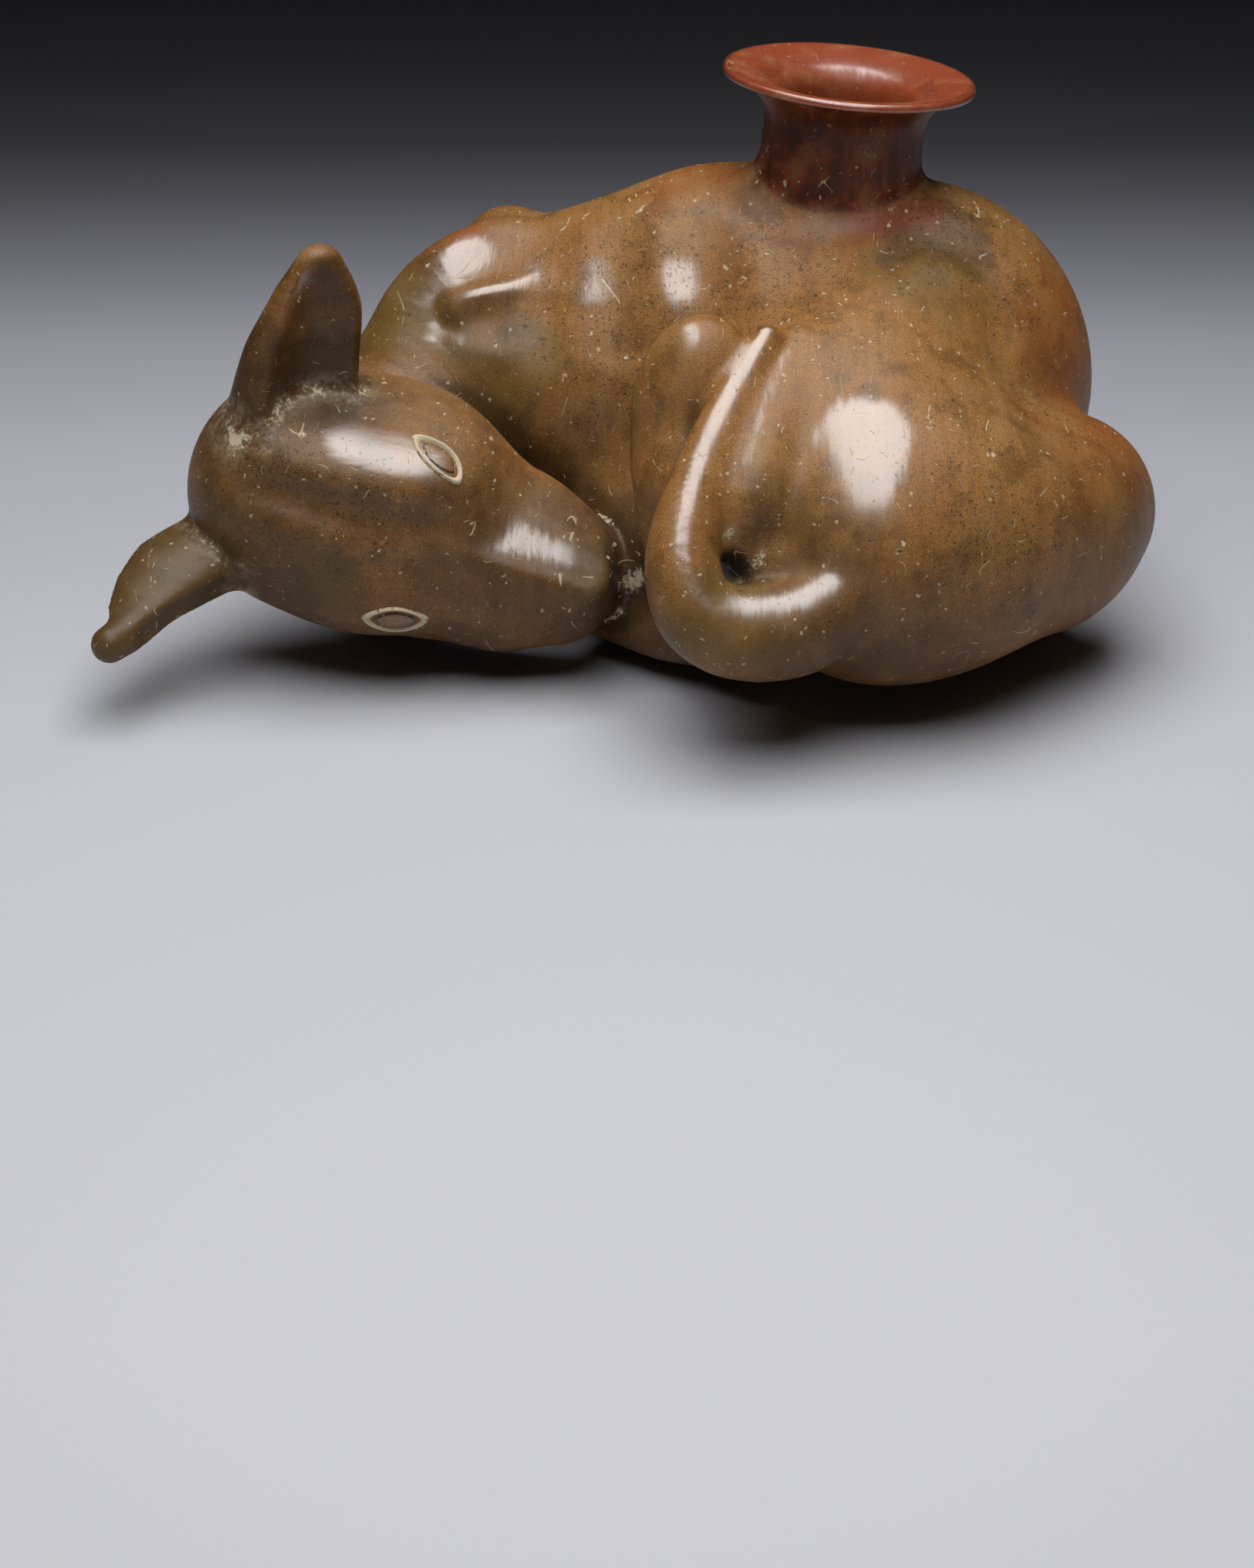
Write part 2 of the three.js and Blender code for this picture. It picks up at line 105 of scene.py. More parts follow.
def roll(p, path, radii, steps=5, flat=None):
    """Roll of clay: distance to the nearest point of the path, less the radius there. flat = (direction, factor)
    squeezes the roll's section along that direction."""
    line = smooth_path(path, steps) if steps > 1 else np.asarray(path, float)
    share = np.linspace(0, len(radii) - 1, len(line))
    radius = np.interp(share, np.arange(len(radii)), radii)
    if flat is not None:
        direction, factor = np.float32(unit(flat[0])), flat[1]
    nearest = np.full(p.shape[:-1], 1e6, np.float32)
    for start, end, r0, r1 in zip(line[:-1], line[1:], radius[:-1], radius[1:]):
        span = np.float32(end - start)
        reach = p - np.float32(start)
        t = np.clip(reach @ span / (span @ span), 0, 1)
        away = reach - t[..., None] * span
        scale = 1
        if flat is not None:
            away = away + (away @ direction * (1 / factor - 1))[..., None] * direction
            scale = factor**0.5
        nearest = np.minimum(nearest, (length(away) - (r0 + (r1 - r0) * t)) * scale)
    return nearest


def knead(a, b, blend):
    """Smooth union: min(a, b), less a quarter of the blend where the two are equal, falling to nothing."""
    overlap = np.maximum(blend - np.abs(a - b), 0) / blend
    return np.minimum(a, b) - overlap * overlap * blend * 0.25


def press(clay, tool, blend):
    """Smooth cut: the tool's form is taken out of the clay, with an edge rounded over the blend."""
    return -knead(-clay, tool, blend)


def unit(values):
    return np.asarray(values, float) / np.linalg.norm(values)


# %% [markdown]
# The dog's head has its own axes, because it lies rolled on its right cheek with the brow towards us: along
# the nose, across to the left cheek, and up through the brow. Its lumps are placed on those axes.

# %% Head axes
head_centre = np.array([-96.0, -3.0, 56.0])
nose_axis = unit([91.0, -20.0, -18.5])
brow_axis = np.array([0.0, -0.982, 0.191])
brow_axis = unit(brow_axis - (brow_axis @ nose_axis) * nose_axis)
left_axis = np.cross(brow_axis, nose_axis)
head_axes = np.stack([nose_axis, left_axis, brow_axis], axis=1)


def on_head(place):
    """A place on the head's axes, taken to the vessel's."""
    return head_centre + head_axes @ np.asarray(place, float)


print("left cheek looks along", left_axis.round(2))

# %% [markdown]
# The pieces of clay follow, each as a potter may have formed it. They follow the frame's pieces, and some
# were reshaped afterwards to agree better with the photograph, by up to some 20 mm on the loin in front of
# the spout. The body and thighs are lumps, the limbs are rolls, and the ears are rolls pressed hollow.

# %% Body and neck
def body_form(p):
    loin = lump(p, (84, 58, 71), (60, 57.6, 62))
    croup = lump(p, (66, 0, 64.5), (48, 52, 49), 5)
    flank = lump(p, (32, 66, 76), (60, 49.5, 60))
    chest = lump(p, (-24, 68, 66), (50, 45, 50))
    belly = lump(p, (46, 30, 30), (66, 54, 37))
    trunk = knead(knead(knead(loin, croup, 30), flank, 25), chest, 25)
    return knead(trunk, belly, 20)


def neck_form(p):
    return roll(p, [(-48, 62, 71), (-75, 36, 59), (-94, 6, 50)], [29, 23, 20], 8)


# %% Head and jaw, from places on the head's axes
def skull_form(q):
    skull = knead(lump(q, (0, 1, -3), (37, 36.5, 32)), lump(q, (22, 2.5, -10), (41, 38.5, 33)), 10)
    temples = knead(lump(q, (17, 15.5, 8), (30, 13, 17)), lump(q, (21, -17, 6), (30, 18, 14)), 5)
    side = 31 - q @ np.float32([0.05, 0.865, 0.5])
    return press(knead(skull, temples, 7), side, 8)


def wedge(q, start, end, left_slope, right_slope):
    """Ridge with two flat sides that meet on the line from start to end."""
    line = np.float32(np.subtract(end, start))
    share = np.clip((q[..., 0] - start[0]) / line[0], -0.2, 1.2)
    w, t = q[..., 1] - start[1] - share * line[1], q[..., 2] - start[2] - share * line[2]
    left = (w * left_slope + t) / np.hypot(1, left_slope)
    right = (t - w * right_slope) / np.hypot(1, right_slope)
    return -knead(-left, -right, 2)


def snout_form(q):
    left_cheek = roll(q, [(44, 0, -12), (62, -1, -12), (73, -3, -12)], [29, 26.5, 20.5], 1, flat=((0, 0, 1), 0.58))
    left_cheek = press(left_cheek, 32 - q @ np.float32([0.29, 0.865, 0.5]), 6)
    right_cheek = roll(q, [(44, -12, -8), (62, -12, -8), (78, -9, -9)], [21, 20, 16.5], 1)
    ridge = wedge(q, (44, -1, 17), (92, -4, 8), 1.0, 0.25)
    bounds = roll(q, [(40, -1, 4), (84, -3, -1)], [17, 12], 1)
    bridge = press(bounds, -ridge, 2)
    return knead(knead(left_cheek, right_cheek, 10), bridge, 5)


def head_form(q):
    groove = roll(q, [(-40, 4, 22), (-20, 5, 30), (12, 3, 30), (40, 3, 25)], [3, 3, 3, 2])
    return press(knead(skull_form(q), snout_form(q), 7), groove, 8)


def jaw_form(q):
    return lump(q, (52, -5, -19), (47, 26, 13))


# %% Ears
def left_ear_form(p):
    path = [(-100, -1, 80), (-97, -1, 96), (-92, -1, 113), (-90.5, -1, 126)]
    cup = roll(p, [(-87, -20, 80), (-86, -19, 100), (-86.5, -15, 121)], [19.5, 18, 11.5], 12)
    return press(roll(p, path, [20.5, 18.5, 14.5, 8], 12, flat=((0.8, -1, 0), 0.85)), cup, 5)


def right_ear_form(p):
    blade_path = [(-125.9, -10.0, 44.4), (-134.1, -17.0, 40.6), (-140.9, -25.0, 35.8), (-146.7, -33.0, 31.3)]
    blade = roll(p, blade_path, [12, 13, 11, 7], 10, flat=((0.15, -0.12, 1), 0.33))
    edge_path = [
        (-119.0, -14.0, 36.9), (-128.6, -23.0, 34.2), (-137.7, -32.0, 31.1), (-146.6, -40.0, 27.2),
        (-152.2, -46.0, 25.9),
    ]
    edge = roll(p, edge_path, [6.5, 6, 5.3, 5.5, 5.5], 10)
    fold = roll(p, [(-118.3, -24.0, 32.2), (-129.0, -34.0, 29.5), (-139.6, -43.0, 27.0)], [4, 5, 3], 6)
    return press(knead(blade, edge, 5), fold, 4)


# %% Legs and tail
tail_path = [
    (40.6, -18.0, 111.5), (30.4, -33.4, 98.2), (22.4, -48.9, 85.3), (17.0, -60.9, 71.2), (15.8, -68.0, 60.0),
    (19.5, -73.0, 49.0), (27.7, -74.0, 43.2), (38.1, -73.0, 41.4), (48.7, -70.5, 42.2), (58.2, -65.5, 46.2),
    (65.2, -57.5, 53.2), (69.0, -47.0, 60.7), (70.4, -35.0, 67.8),
]
tail_radii = [3.6, 5.8, 7.2, 9.4, 10.8, 12.2, 13.4, 14.2, 14.2, 14, 13, 12, 11]
limb_rolls = {
    "tail": (tail_path, tail_radii, 10),
    "left_hind_foot": ([(36, -24, 20), (12, -8, 16), (-8, 8, 14)], [12, 11, 8]),
    "right_hind_foot": ([(132, 20, 22), (116, 52, 15), (92, 80, 14)], [12, 11, 9]),
    "left_shoulder": ([(-68, 51, 82), (-62, 57, 94), (-52, 61, 103), (-40, 67, 107)], [14, 13, 12.5, 12]),
    "right_shoulder": ([(-60, 92, 44), (-62, 92, 62), (-54, 90, 84), (-38, 88, 104)], [13, 15, 14, 12]),
    "left_foreleg": ([(-60, 46, 36), (-72, 36, 22), (-74, 20, 13)], [12, 10, 9]),
    "right_foreleg": ([(-62, 92, 34), (-76, 76, 20), (-86, 52, 13)], [13, 11, 10]),
}


def right_thigh_form(p):
    buttock = lump(p, (76, -26, 56.5), (46, 49, 39.8), 34)
    knee = roll(p, [(130, 8, 47), (120, -6, 48), (98, -26, 52), (74, -34, 55)], [29.8, 34, 34, 33])
    return knead(buttock, knee, 20)


def left_thigh_form(p):
    knee = lump(p, (22, -18, 86), (21, 16, 32))
    return knead(knee, roll(p, [(20, -26, 70), (19, -20, 44), (20, -16, 26)], [18, 15, 11]), 8)


# %% [markdown]
# The spout is the one turned form. Its tube stands in the clay of the loin, and its flare follows a steep
# power curve, so that the neck stays slim and the rim opens late. Only the tube is kneaded into the skin:
# the flare has a crisp lip, and is turned as a surface of its own further down.

# %% Spout
tube_radius, tube_height, bore_radius, rim_dish = 24.5, 17.0, 19.5, 17.0


def spout_frame(p):
    """Height along the spout's axis, and distance from it."""
    reach = p - np.float32(spout_foot)
    height = reach @ np.float32(spout_axis)
    return height, length(reach - height[..., None] * np.float32(spout_axis))


def spout_tube_form(p):
    height, radius = spout_frame(p)
    return np.maximum(radius - tube_radius, np.maximum(-12 - height, height - tube_height - 6))


def spout_bore_form(p):
    height, radius = spout_frame(p)
    return np.maximum(radius - bore_radius, -20 - height)


# %% [markdown]
# Each piece's own distance is kept, and the whole clay is their kneaded union. The own distances say later
# which piece a patch of skin belongs to, and how near it lies to a join. Points that are far from a piece
# get the distance to its box instead, which saves most of the work.
#
# Small rolls are added where a ridge of clay stands, and tools are pressed in for the armpit, the hollows
# between the ribs and the groove round the haunch. Their places, the tail's and the right ear's were read
# off the photograph with rays from the camera set up below, and then changed by hand over several renders.

# %% The whole vessel
piece_boxes = {
    "neck_shell": ((-124, -28, 28), (-14, 94, 116)), "skull": ((-136, -58, 8), (10, 46, 100)),
    "lower_jaw": ((-104, -44, 14), (10, 40, 76)), "left_ear": ((-124, -24, 56), (-74, 24, 136)),
    "right_ear": ((-160, -52, 16), (-98, 14, 66)), "right_thigh": ((26, -84, 8), (166, 44, 128)),
    "left_thigh": ((-2, -54, 12), (46, 6, 120)), "spout_neck": ((36, 32, 114), (96, 90, 156)),
}
added = {
    "armpit ridge": ([(-50.2, 44.8, 97.7), (-37.2, 46.5, 102.2), (-23.6, 46.8, 106.8)], [6.5, 7, 6], 3),
    "tail bed": (
        [(49.5, -13.0, 106.4), (44.7, -27.7, 95.8), (39.8, -42.1, 85.3), (35.5, -52.8, 75.4), (31.4, -55.0, 63.9)],
        [5, 8, 9, 9, 7], 9),
    "bowl floor": ([(33.0, -49.0, 49.0), (42.0, -55.0, 54.0)], [9, 9], 8),
}
pressed = {
    "armpit": ([(-56.1, 28.5, 102.0), (-42.3, 27.6, 102.9), (-29.2, 28.0, 107.4)], [9.5, 12.5, 10], 3),
    "haunch": (
        [(77.7, 15.1, 132.3), (88.6, 25.1, 135.1), (104.0, 25.3, 131.4), (114.1, 17.2, 121.5), (118.8, 4.0, 107.7),
         (123.4, -4.8, 99.5), (128.8, -9.2, 95.0), (138.8, -6.9, 89.8), (149.8, -3.5, 85.3)],
        [11, 12, 12, 12, 12, 12, 12, 11, 10], 5),
    "first rib": (
        [(-30.9, 46.2, 127.2), (-27.8, 31.8, 118.5), (-28.9, 24.7, 109.9), (-26.9, 16.5, 99.7)],
        [15, 16, 16, 14], 8),
    "second rib": (
        [(-8.9, 34.1, 128.3), (-7.9, 25.7, 120.1), (-7.1, 18.6, 111.0), (-6.1, 13.2, 102.4)],
        [14, 15, 15, 14], 8),
    "third rib": ([(18.9, 24.0, 132.7), (18.0, 16.5, 125.0), (16.9, 10.3, 119.3)], [16, 17, 16], 8),
    "shoulder dip": ([(-38.8, 57.4, 130.2), (-40.2, 46.5, 123.7), (-43.8, 43.1, 120.3)], [13, 14, 12], 6),
}
joins = {
    "neck_shell": 12, "left_shoulder": 8, "right_shoulder": 10, "left_foreleg": 6, "right_foreleg": 6,
    "right_thigh": 10, "left_thigh": 5, "right_hind_foot": 8, "left_hind_foot": 5, "skull": 4, "lower_jaw": 2,
    "tail": 3.5, "left_ear": 4, "right_ear": 4, "spout_neck": 9,
}
piece_makers = {
    "neck_shell": neck_form, "left_ear": left_ear_form, "right_ear": right_ear_form, "spout_neck": spout_tube_form,
    "right_thigh": right_thigh_form, "left_thigh": left_thigh_form,
    "skull": lambda p: head_form(head_place(p)), "lower_jaw": lambda p: jaw_form(head_place(p)),
}


def head_place(p):
    return ((p - np.float32(head_centre)) @ np.float32(head_axes)).astype(np.float32)


def near(p, low, high, form):
    """Distance to a form, worked out in full only within 14 mm of its box."""
    gap = length(np.maximum(np.maximum(np.float32(low) - p, p - np.float32(high)), 0))
    close = gap < 14
    gap[close] = form(p[close])
    return gap


def near_roll(p, path, radii, steps=5):
    reach = np.array(radii)[:, None] + 1.5
    return near(p, (path - reach).min(0), (path + reach).max(0), lambda q: roll(q, path, radii, steps))


def piece_form(p, name):
    if name in limb_rolls:
        return near_roll(p, *limb_rolls[name])
    return near(p, *piece_boxes[name], piece_makers[name])


def clay_form(p, own=None):
    """The kneaded union of all pieces, cut flat at the ground and bored through the spout. A dictionary given as
    own is filled with each piece's own distance."""
    whole = body_form(p)
    if own is not None:
        own["body"] = whole
    for name, blend in joins.items():
        form = piece_form(p, name)
        whole = knead(whole, form, blend)
        if own is not None:
            own[name] = form
    for path, radii, blend in added.values():
        whole = knead(whole, near_roll(p, path, radii), blend)
    for path, radii, blend in pressed.values():
        whole = press(whole, near_roll(p, path, radii), blend)
    whole = np.maximum(whole, -p[..., 2])
    return np.maximum(whole, -spout_bore_form(p)).astype(np.float32)


# %% [markdown]
# The skin of kneaded clay has no seams, so it isn't made as one grid for each piece: two grids would meet
# in a visible crease. It is found instead as the level zero of the clay, on a lattice of small cells. Each
# cell that the skin passes through gives one vertex, at the mean of the crossings on its edges, and each
# lattice edge that the skin crosses gives one quad. Two steps
# along the slope then bring each vertex closer to the skin.

# %% Lattice of the skin
cell = 1.5
block = 4
low_corner = np.array([-166.0, -100.0, -3.0])
high_corner = np.array([172.0, 130.0, 158.0])


def blocks_apart(values):
    return np.repeat(np.repeat(np.repeat(values, block, 0), block, 1), block, 2)


def lattice_values():
    """The clay's distance on the lattice. Only blocks of cells near the skin are worked out in full."""
    shape = np.ceil((high_corner - low_corner) / (cell * block)).astype(int)
    centres = [low_corner[k] + (np.arange(shape[k]) + 0.5) * cell * block for k in range(3)]
    coarse = np.stack(np.meshgrid(*centres, indexing="ij"), axis=-1).astype(np.float32)
    rough = clay_form(coarse.reshape(-1, 3)).reshape(shape)
    values = blocks_apart(rough)
    index = np.argwhere(blocks_apart(np.abs(rough) < cell * block * 1.6))
    points = (low_corner + index * cell).astype(np.float32)
    values[tuple(index.T)] = np.concatenate([clay_form(part) for part in np.array_split(points, 12)])
    return values


def skin_net(values):
    """Vertices and quads of the level zero of the lattice values."""
    inside = values < 0
    corners = np.array([(i, j, k) for i in (0, 1) for j in (0, 1) for k in (0, 1)])
    size = np.array(values.shape) - 1
    count = np.zeros(size, np.int8)
    for i, j, k in corners:
        count += inside[i:size[0] + i, j:size[1] + j, k:size[2] + k]
    cells = np.argwhere((count > 0) & (count < 8))
    at_corner = np.stack([values[tuple((cells + corner).T)] for corner in corners], axis=1)
    total = np.zeros((len(cells), 3))
    crossings = np.zeros(len(cells))
    pairs = [(a, b) for a in range(8) for b in range(a + 1, 8) if np.abs(corners[a] - corners[b]).sum() == 1]
    for a, b in pairs:
        va, vb = at_corner[:, a], at_corner[:, b]
        crossed = (va < 0) != (vb < 0)
        t = np.where(crossed, va / np.where(crossed, va - vb, 1), 0)
        total += np.where(crossed[:, None], corners[a] + t[:, None] * (corners[b] - corners[a]), 0)
        crossings += crossed
    vertices = low_corner + (cells + total / crossings[:, None]) * cell
    number = np.full(size, -1)
    number[tuple(cells.T)] = np.arange(len(cells))
    quads = []
    step = np.eye(3, dtype=int)
    here = inside[1:-1, 1:-1, 1:-1]
    for axis in range(3):
        u, v = (axis + 1) % 3, (axis + 2) % 3
        ahead = inside[tuple(slice(2, None) if k == axis else slice(1, -1) for k in range(3))]
        edges = np.argwhere(here != ahead) + 1
        starts_inside = inside[tuple(edges.T)]
        ring = [edges - step[u] - step[v], edges - step[v], edges, edges - step[u]]
        quad = np.stack([number[tuple(place.T)] for place in ring], axis=1)
        quad[~starts_inside] = quad[~starts_inside][:, ::-1]
        quads.append(quad)
    return vertices.astype(np.float32), np.concatenate(quads)


def slope(p, reach=0.25):
    """Gradient of the clay's distance, by central differences, as unit normals and its steepness."""
    steps = [clay_form(p + np.float32(reach * axis)) - clay_form(p - np.float32(reach * axis))
             for axis in np.eye(3)]
    gradient = np.stack(steps, axis=-1) / (2 * reach)
    steepness = np.maximum(length(gradient), 1e-6)
    return gradient / steepness[:, None], steepness


skin_points, skin_quads = skin_net(lattice_values())
for _ in range(2):
    skin_normals, steepness = slope(skin_points)
    skin_points = skin_points - skin_normals * (clay_form(skin_points) / np.maximum(steepness, 0.5))[:, None]
skin_normals, steepness = slope(skin_points)
print("skin:", len(skin_points), "vertices and", len(skin_quads), "quads")

# %% [markdown]
# Every quad of the skin is given to the piece of clay that lies nearest to it. The body is divided further
# at its seams, as in the frame: the base dish below its rim, and the chest before the slanting seam. The
# muzzle starts at its own seam on the head.

# %% Which piece each quad belongs to
dish_height, seam_angle, seam_offset, muzzle_seam = 34.0, np.radians(-24), -8.0, 48.0
quad_middles = skin_points[skin_quads].mean(axis=1)
own = {}
clay_form(quad_middles, own)
names = list(own)
owner = np.array(names)[np.argmin(np.stack([own[name] for name in names]), axis=0)].astype(object)
across_seam = quad_middles[:, 0] * np.cos(seam_angle) + quad_middles[:, 1] * np.sin(seam_angle)
on_body = owner == "body"
owner[on_body & (across_seam >= seam_offset)] = "rump_shell"
owner[on_body & (across_seam < seam_offset)] = "chest_shell"
owner[on_body & (quad_middles[:, 2] < dish_height)] = "base_dish"
on_skull = owner == "skull"
owner[on_skull] = np.where(head_place(quad_middles)[on_skull, 0] > muzzle_seam, "muzzle", "skull_shell")
spout_level, spout_radius = spout_frame(quad_middles)
in_spout = (spout_radius < tube_radius + 3) & (spout_level > -12)
owner[in_spout & (spout_radius < bore_radius + 1)] = "spout_neck"
owner[in_spout & (spout_level > tube_height)] = "none"
for name in sorted(set(owner)):
    print(name, (owner == name).sum(), "quads")

# %% [markdown]
# Dust and old lime lie where a finger can't reach, and shade is painted into the wider hollows, so the skin
# carries a few numbers for its material: how closed in each place is at two distances, and how near it lies
# to the joins of the ears, the spout and the tail. They are worked out once, on the whole skin, from the
# clay's distances. One more number says where the shine is: in the zones, on ridges and round places, where
# the photograph shows a highlight. Their places were found by casting highlights of the photograph back onto
# the clay, so they fit that one view, and the clay between them is kept duller than it may be on the real
# vessel. The tail's zone is worked out: it runs along the side of the tail that looks half way between the
# camera and the lamp set up below.

# %% Numbers that the material reads
def closed_in(reach):
    """Share of the open space missing at that height over the skin: 0 on flat or rounded clay, 1 in a pit."""
    return np.clip(1 - clay_form(skin_points + skin_normals * np.float32(reach)) / reach, 0, 1)


own = {}
clay_form(skin_points, own)


def join_of(first, second, width):
    """1 where two pieces are equally near, falling to 0 at the width."""
    apart = np.abs(own[first] - own[second]) + np.maximum(np.minimum(own[first], own[second]), 0)
    return np.clip(1 - apart / width, 0, 1)


spout_level, spout_radius = spout_frame(skin_points)
spout_nearness = np.clip((50 - spout_radius) / 25, 0, 1) * np.clip((spout_level + 24) / 24, 0, 1)
lamp_side = unit((0, -0.545, 0.839))
rubbed_places = [
    ([(-60, 50, 107), (-47, 54, 115)], [9, 7]), ([(-46, 41, 104), (-38, 43.6, 106.4), (-29, 47, 108.6)], [3, 4, 3]),
    ([(-10, 39, 108.5), (-10, 40, 109)], [7, 7]), ([(15, 30, 111), (15, 31, 112)], [7, 7]),
    ([(-57, 38, 92.5), (-52, 36, 90)], [4, 3]), ([(-82, -20, 80), (-68, -21.5, 76.6), (-58, -23, 73)], [7, 8, 5]),
    ([(-44, -23, 56), (-31, -22.5, 49.5), (-17.7, -23.3, 45), (-6, -22, 41)], [7, 5, 3, 1]),
    ([(-98, -6, 126), (-97, -6, 124)], [5, 5]),
    (np.array(tail_path) + np.array(tail_radii)[:, None] * lamp_side, [3.5, 3.5]),
    ([(68, -49, 93), (67, -58, 85), (66.8, -68, 76), (66.5, -76, 66)], [14, 12, 7, 3]),
    ([(16, -24, 114), (14, -26, 112)], [5, 5]),
]
bed_line = [(46, -23, 109), (40.2, -37.9, 99.7), (34.2, -54.4, 87.1)]
zone_edge, bed_edge, bed_strength = 8, 4, 0.5
rubbed = np.max([np.clip(0.5 - roll(skin_points, *zone, 1) / zone_edge, 0, 1) for zone in rubbed_places], axis=0)
bed_zone = np.clip(0.5 - roll(skin_points, bed_line, [2, 2], 1) / bed_edge, 0, 1)
rubbed = np.maximum(rubbed, bed_strength * bed_zone)
skin_numbers = {
    "rubbed": rubbed,
    "fine_hollow": closed_in(3.0),
    "wide_hollow": closed_in(10.0),
    "ear_join": np.maximum(join_of("skull", "left_ear", 9), join_of("skull", "right_ear", 9)),
    "spout_join": join_of("body", "spout_neck", 8),
    "tail_join": join_of("right_thigh", "tail", 10),
    "spout_near": spout_nearness,
}
for name, values in skin_numbers.items():
    print(name, "from", values.min().round(2), "to", values.max().round(2))

# %% [markdown]
# A patch of skin is closed into a solid by a second skin 2.5 mm inside it and a strip of quads along its
# edge. The patch keeps the normals of the whole clay, so that light runs over the seams without a break.

# %% Patches into closed pieces
def mesh_piece(name, points, faces, normals=None, numbers=None):
    """A mesh object in the frame's place, smooth, with its own normals and numbers."""
    mesh = bpy.data.meshes.new(name + "_clay")
    mesh.from_pydata((points * MM).astype(float).tolist(), [], [list(map(int, face)) for face in faces])
    mesh.polygons.foreach_set("use_smooth", np.ones(len(mesh.polygons), bool))
    for key, values in (numbers or {}).items():
        mesh.attributes.new(key, "FLOAT", "POINT").data.foreach_set("value", np.float32(values))
    if normals is not None:
        mesh.normals_split_custom_set_from_vertices(normals.astype(float).tolist())
    mesh.update()
    piece = bpy.data.objects.new(name + "_clay", mesh)
    bpy.context.scene.collection.objects.link(piece)
    return piece


def closed_patch(name, quads, thickness=2.5):
    """The quads, the same quads inset along the normals and turned round, and a strip round every open edge."""
    used, place = np.unique(quads, return_inverse=True)
    outer = place.reshape(quads.shape)
    edges = np.concatenate([outer[:, [k, (k + 1) % 4]] for k in range(4)])
    total = len(used)
    forward = edges[:, 0].astype(np.int64) * total + edges[:, 1]
    backward = edges[:, 1].astype(np.int64) * total + edges[:, 0]
    rim = edges[~np.isin(forward, backward)]
    strip = np.stack([rim[:, 1], rim[:, 0], rim[:, 0] + total, rim[:, 1] + total], axis=1)
    faces = np.concatenate([outer, outer[:, ::-1] + total, strip])
    points = np.concatenate([skin_points[used], skin_points[used] - skin_normals[used] * thickness]) + shift
    normals = np.concatenate([skin_normals[used], -skin_normals[used]])
    numbers = {key: np.tile(values[used], 2) for key, values in skin_numbers.items()}
    return mesh_piece(name, points, faces, normals, numbers)


pieces = {name: closed_patch(name, skin_quads[owner == name]) for name in sorted(set(owner)) if name != "none"}
print("pieces from the skin:", len(pieces))

# %% [markdown]
# The spout's flare is turned: one section of it, from the tube out to the lip and back down the inside, is
# carried round the spout's axis. The section is a plain list of radii and heights, with the lip rounded by
# an arc.

# %% The spout's flare
def flare_section(steps=28):
    """Radius and height round the flare's section: outside up a power curve, lip, inside down a power curve.
    Two numbers for the material go with them: where the brick-red inside begins, and how rubbed each place is."""
    share = np.linspace(0, 1, steps)
    outer_height = tube_height - 3 + (rim_height - 1.6 - tube_height + 3) * share
    outer_radius = tube_radius - 0.05 + (rim_radius - tube_radius) * share**4.5
    turn = np.linspace(-0.35, 1, 12) * np.pi / 2
    lip_radius = rim_radius - 1.6 + 1.6 * np.cos(turn)
    lip_height = rim_height - 1.6 + 1.6 * np.sin(turn)
    inner_height = rim_height - 0.15 - (rim_height - tube_height + 0.85) * share
    inner_radius = bore_radius + 0.03 + (rim_dish - 1) * (1 - share) ** 7
    inside = np.concatenate([np.clip(share * 8 - 7, 0, 1), np.ones(12 + steps)])
    dish_shine = 0.2 + 0.5 * np.exp(-(((share - 0.16) / 0.08) ** 2))
    rubbed = np.concatenate([0.15 * np.ones(steps), 0.75 * np.ones(12), dish_shine])
    radius = np.concatenate([outer_radius, lip_radius, inner_radius])
    return radius, np.concatenate([outer_height, lip_height, inner_height]), {"inside": inside, "rubbed": rubbed}


def turned_piece(name, radius, height, numbers, around=144):
    """The closed section carried round the axis: centre + axis height + (side cos a + front sin a) radius."""
    angle = np.linspace(0, 2 * np.pi, around, endpoint=False)
    side = unit(np.cross(spout_axis, (0, 1, 0)))
    front = np.cross(spout_axis, side)
    spoke = np.cos(angle)[:, None, None] * side + np.sin(angle)[:, None, None] * front
    points = spout_foot + spout_axis * height[None, :, None] + spoke * radius[None, :, None] + shift
    i, j = np.meshgrid(np.arange(around), np.arange(len(radius)), indexing="ij")
    index = lambda a, b: (a % around) * len(radius) + b % len(radius)
    faces = np.stack([index(i, j), index(i + 1, j), index(i + 1, j + 1), index(i, j + 1)], axis=-1).reshape(-1, 4)
    numbers = {key: np.tile(values, around) for key, values in numbers.items()}
    return mesh_piece(name, points.reshape(-1, 3), faces, None, numbers)


pieces["spout_rim"] = turned_piece("spout_rim", *flare_section())

# %% [markdown]
# Each eye is a flat almond of clay that follows the skin of the head: a small grid of rings and spokes is
# laid on the head, and every place on it is pushed to the skin along the eye's own direction. A ring is
# incised round the pellet, and the clay stands a little proud outside it.

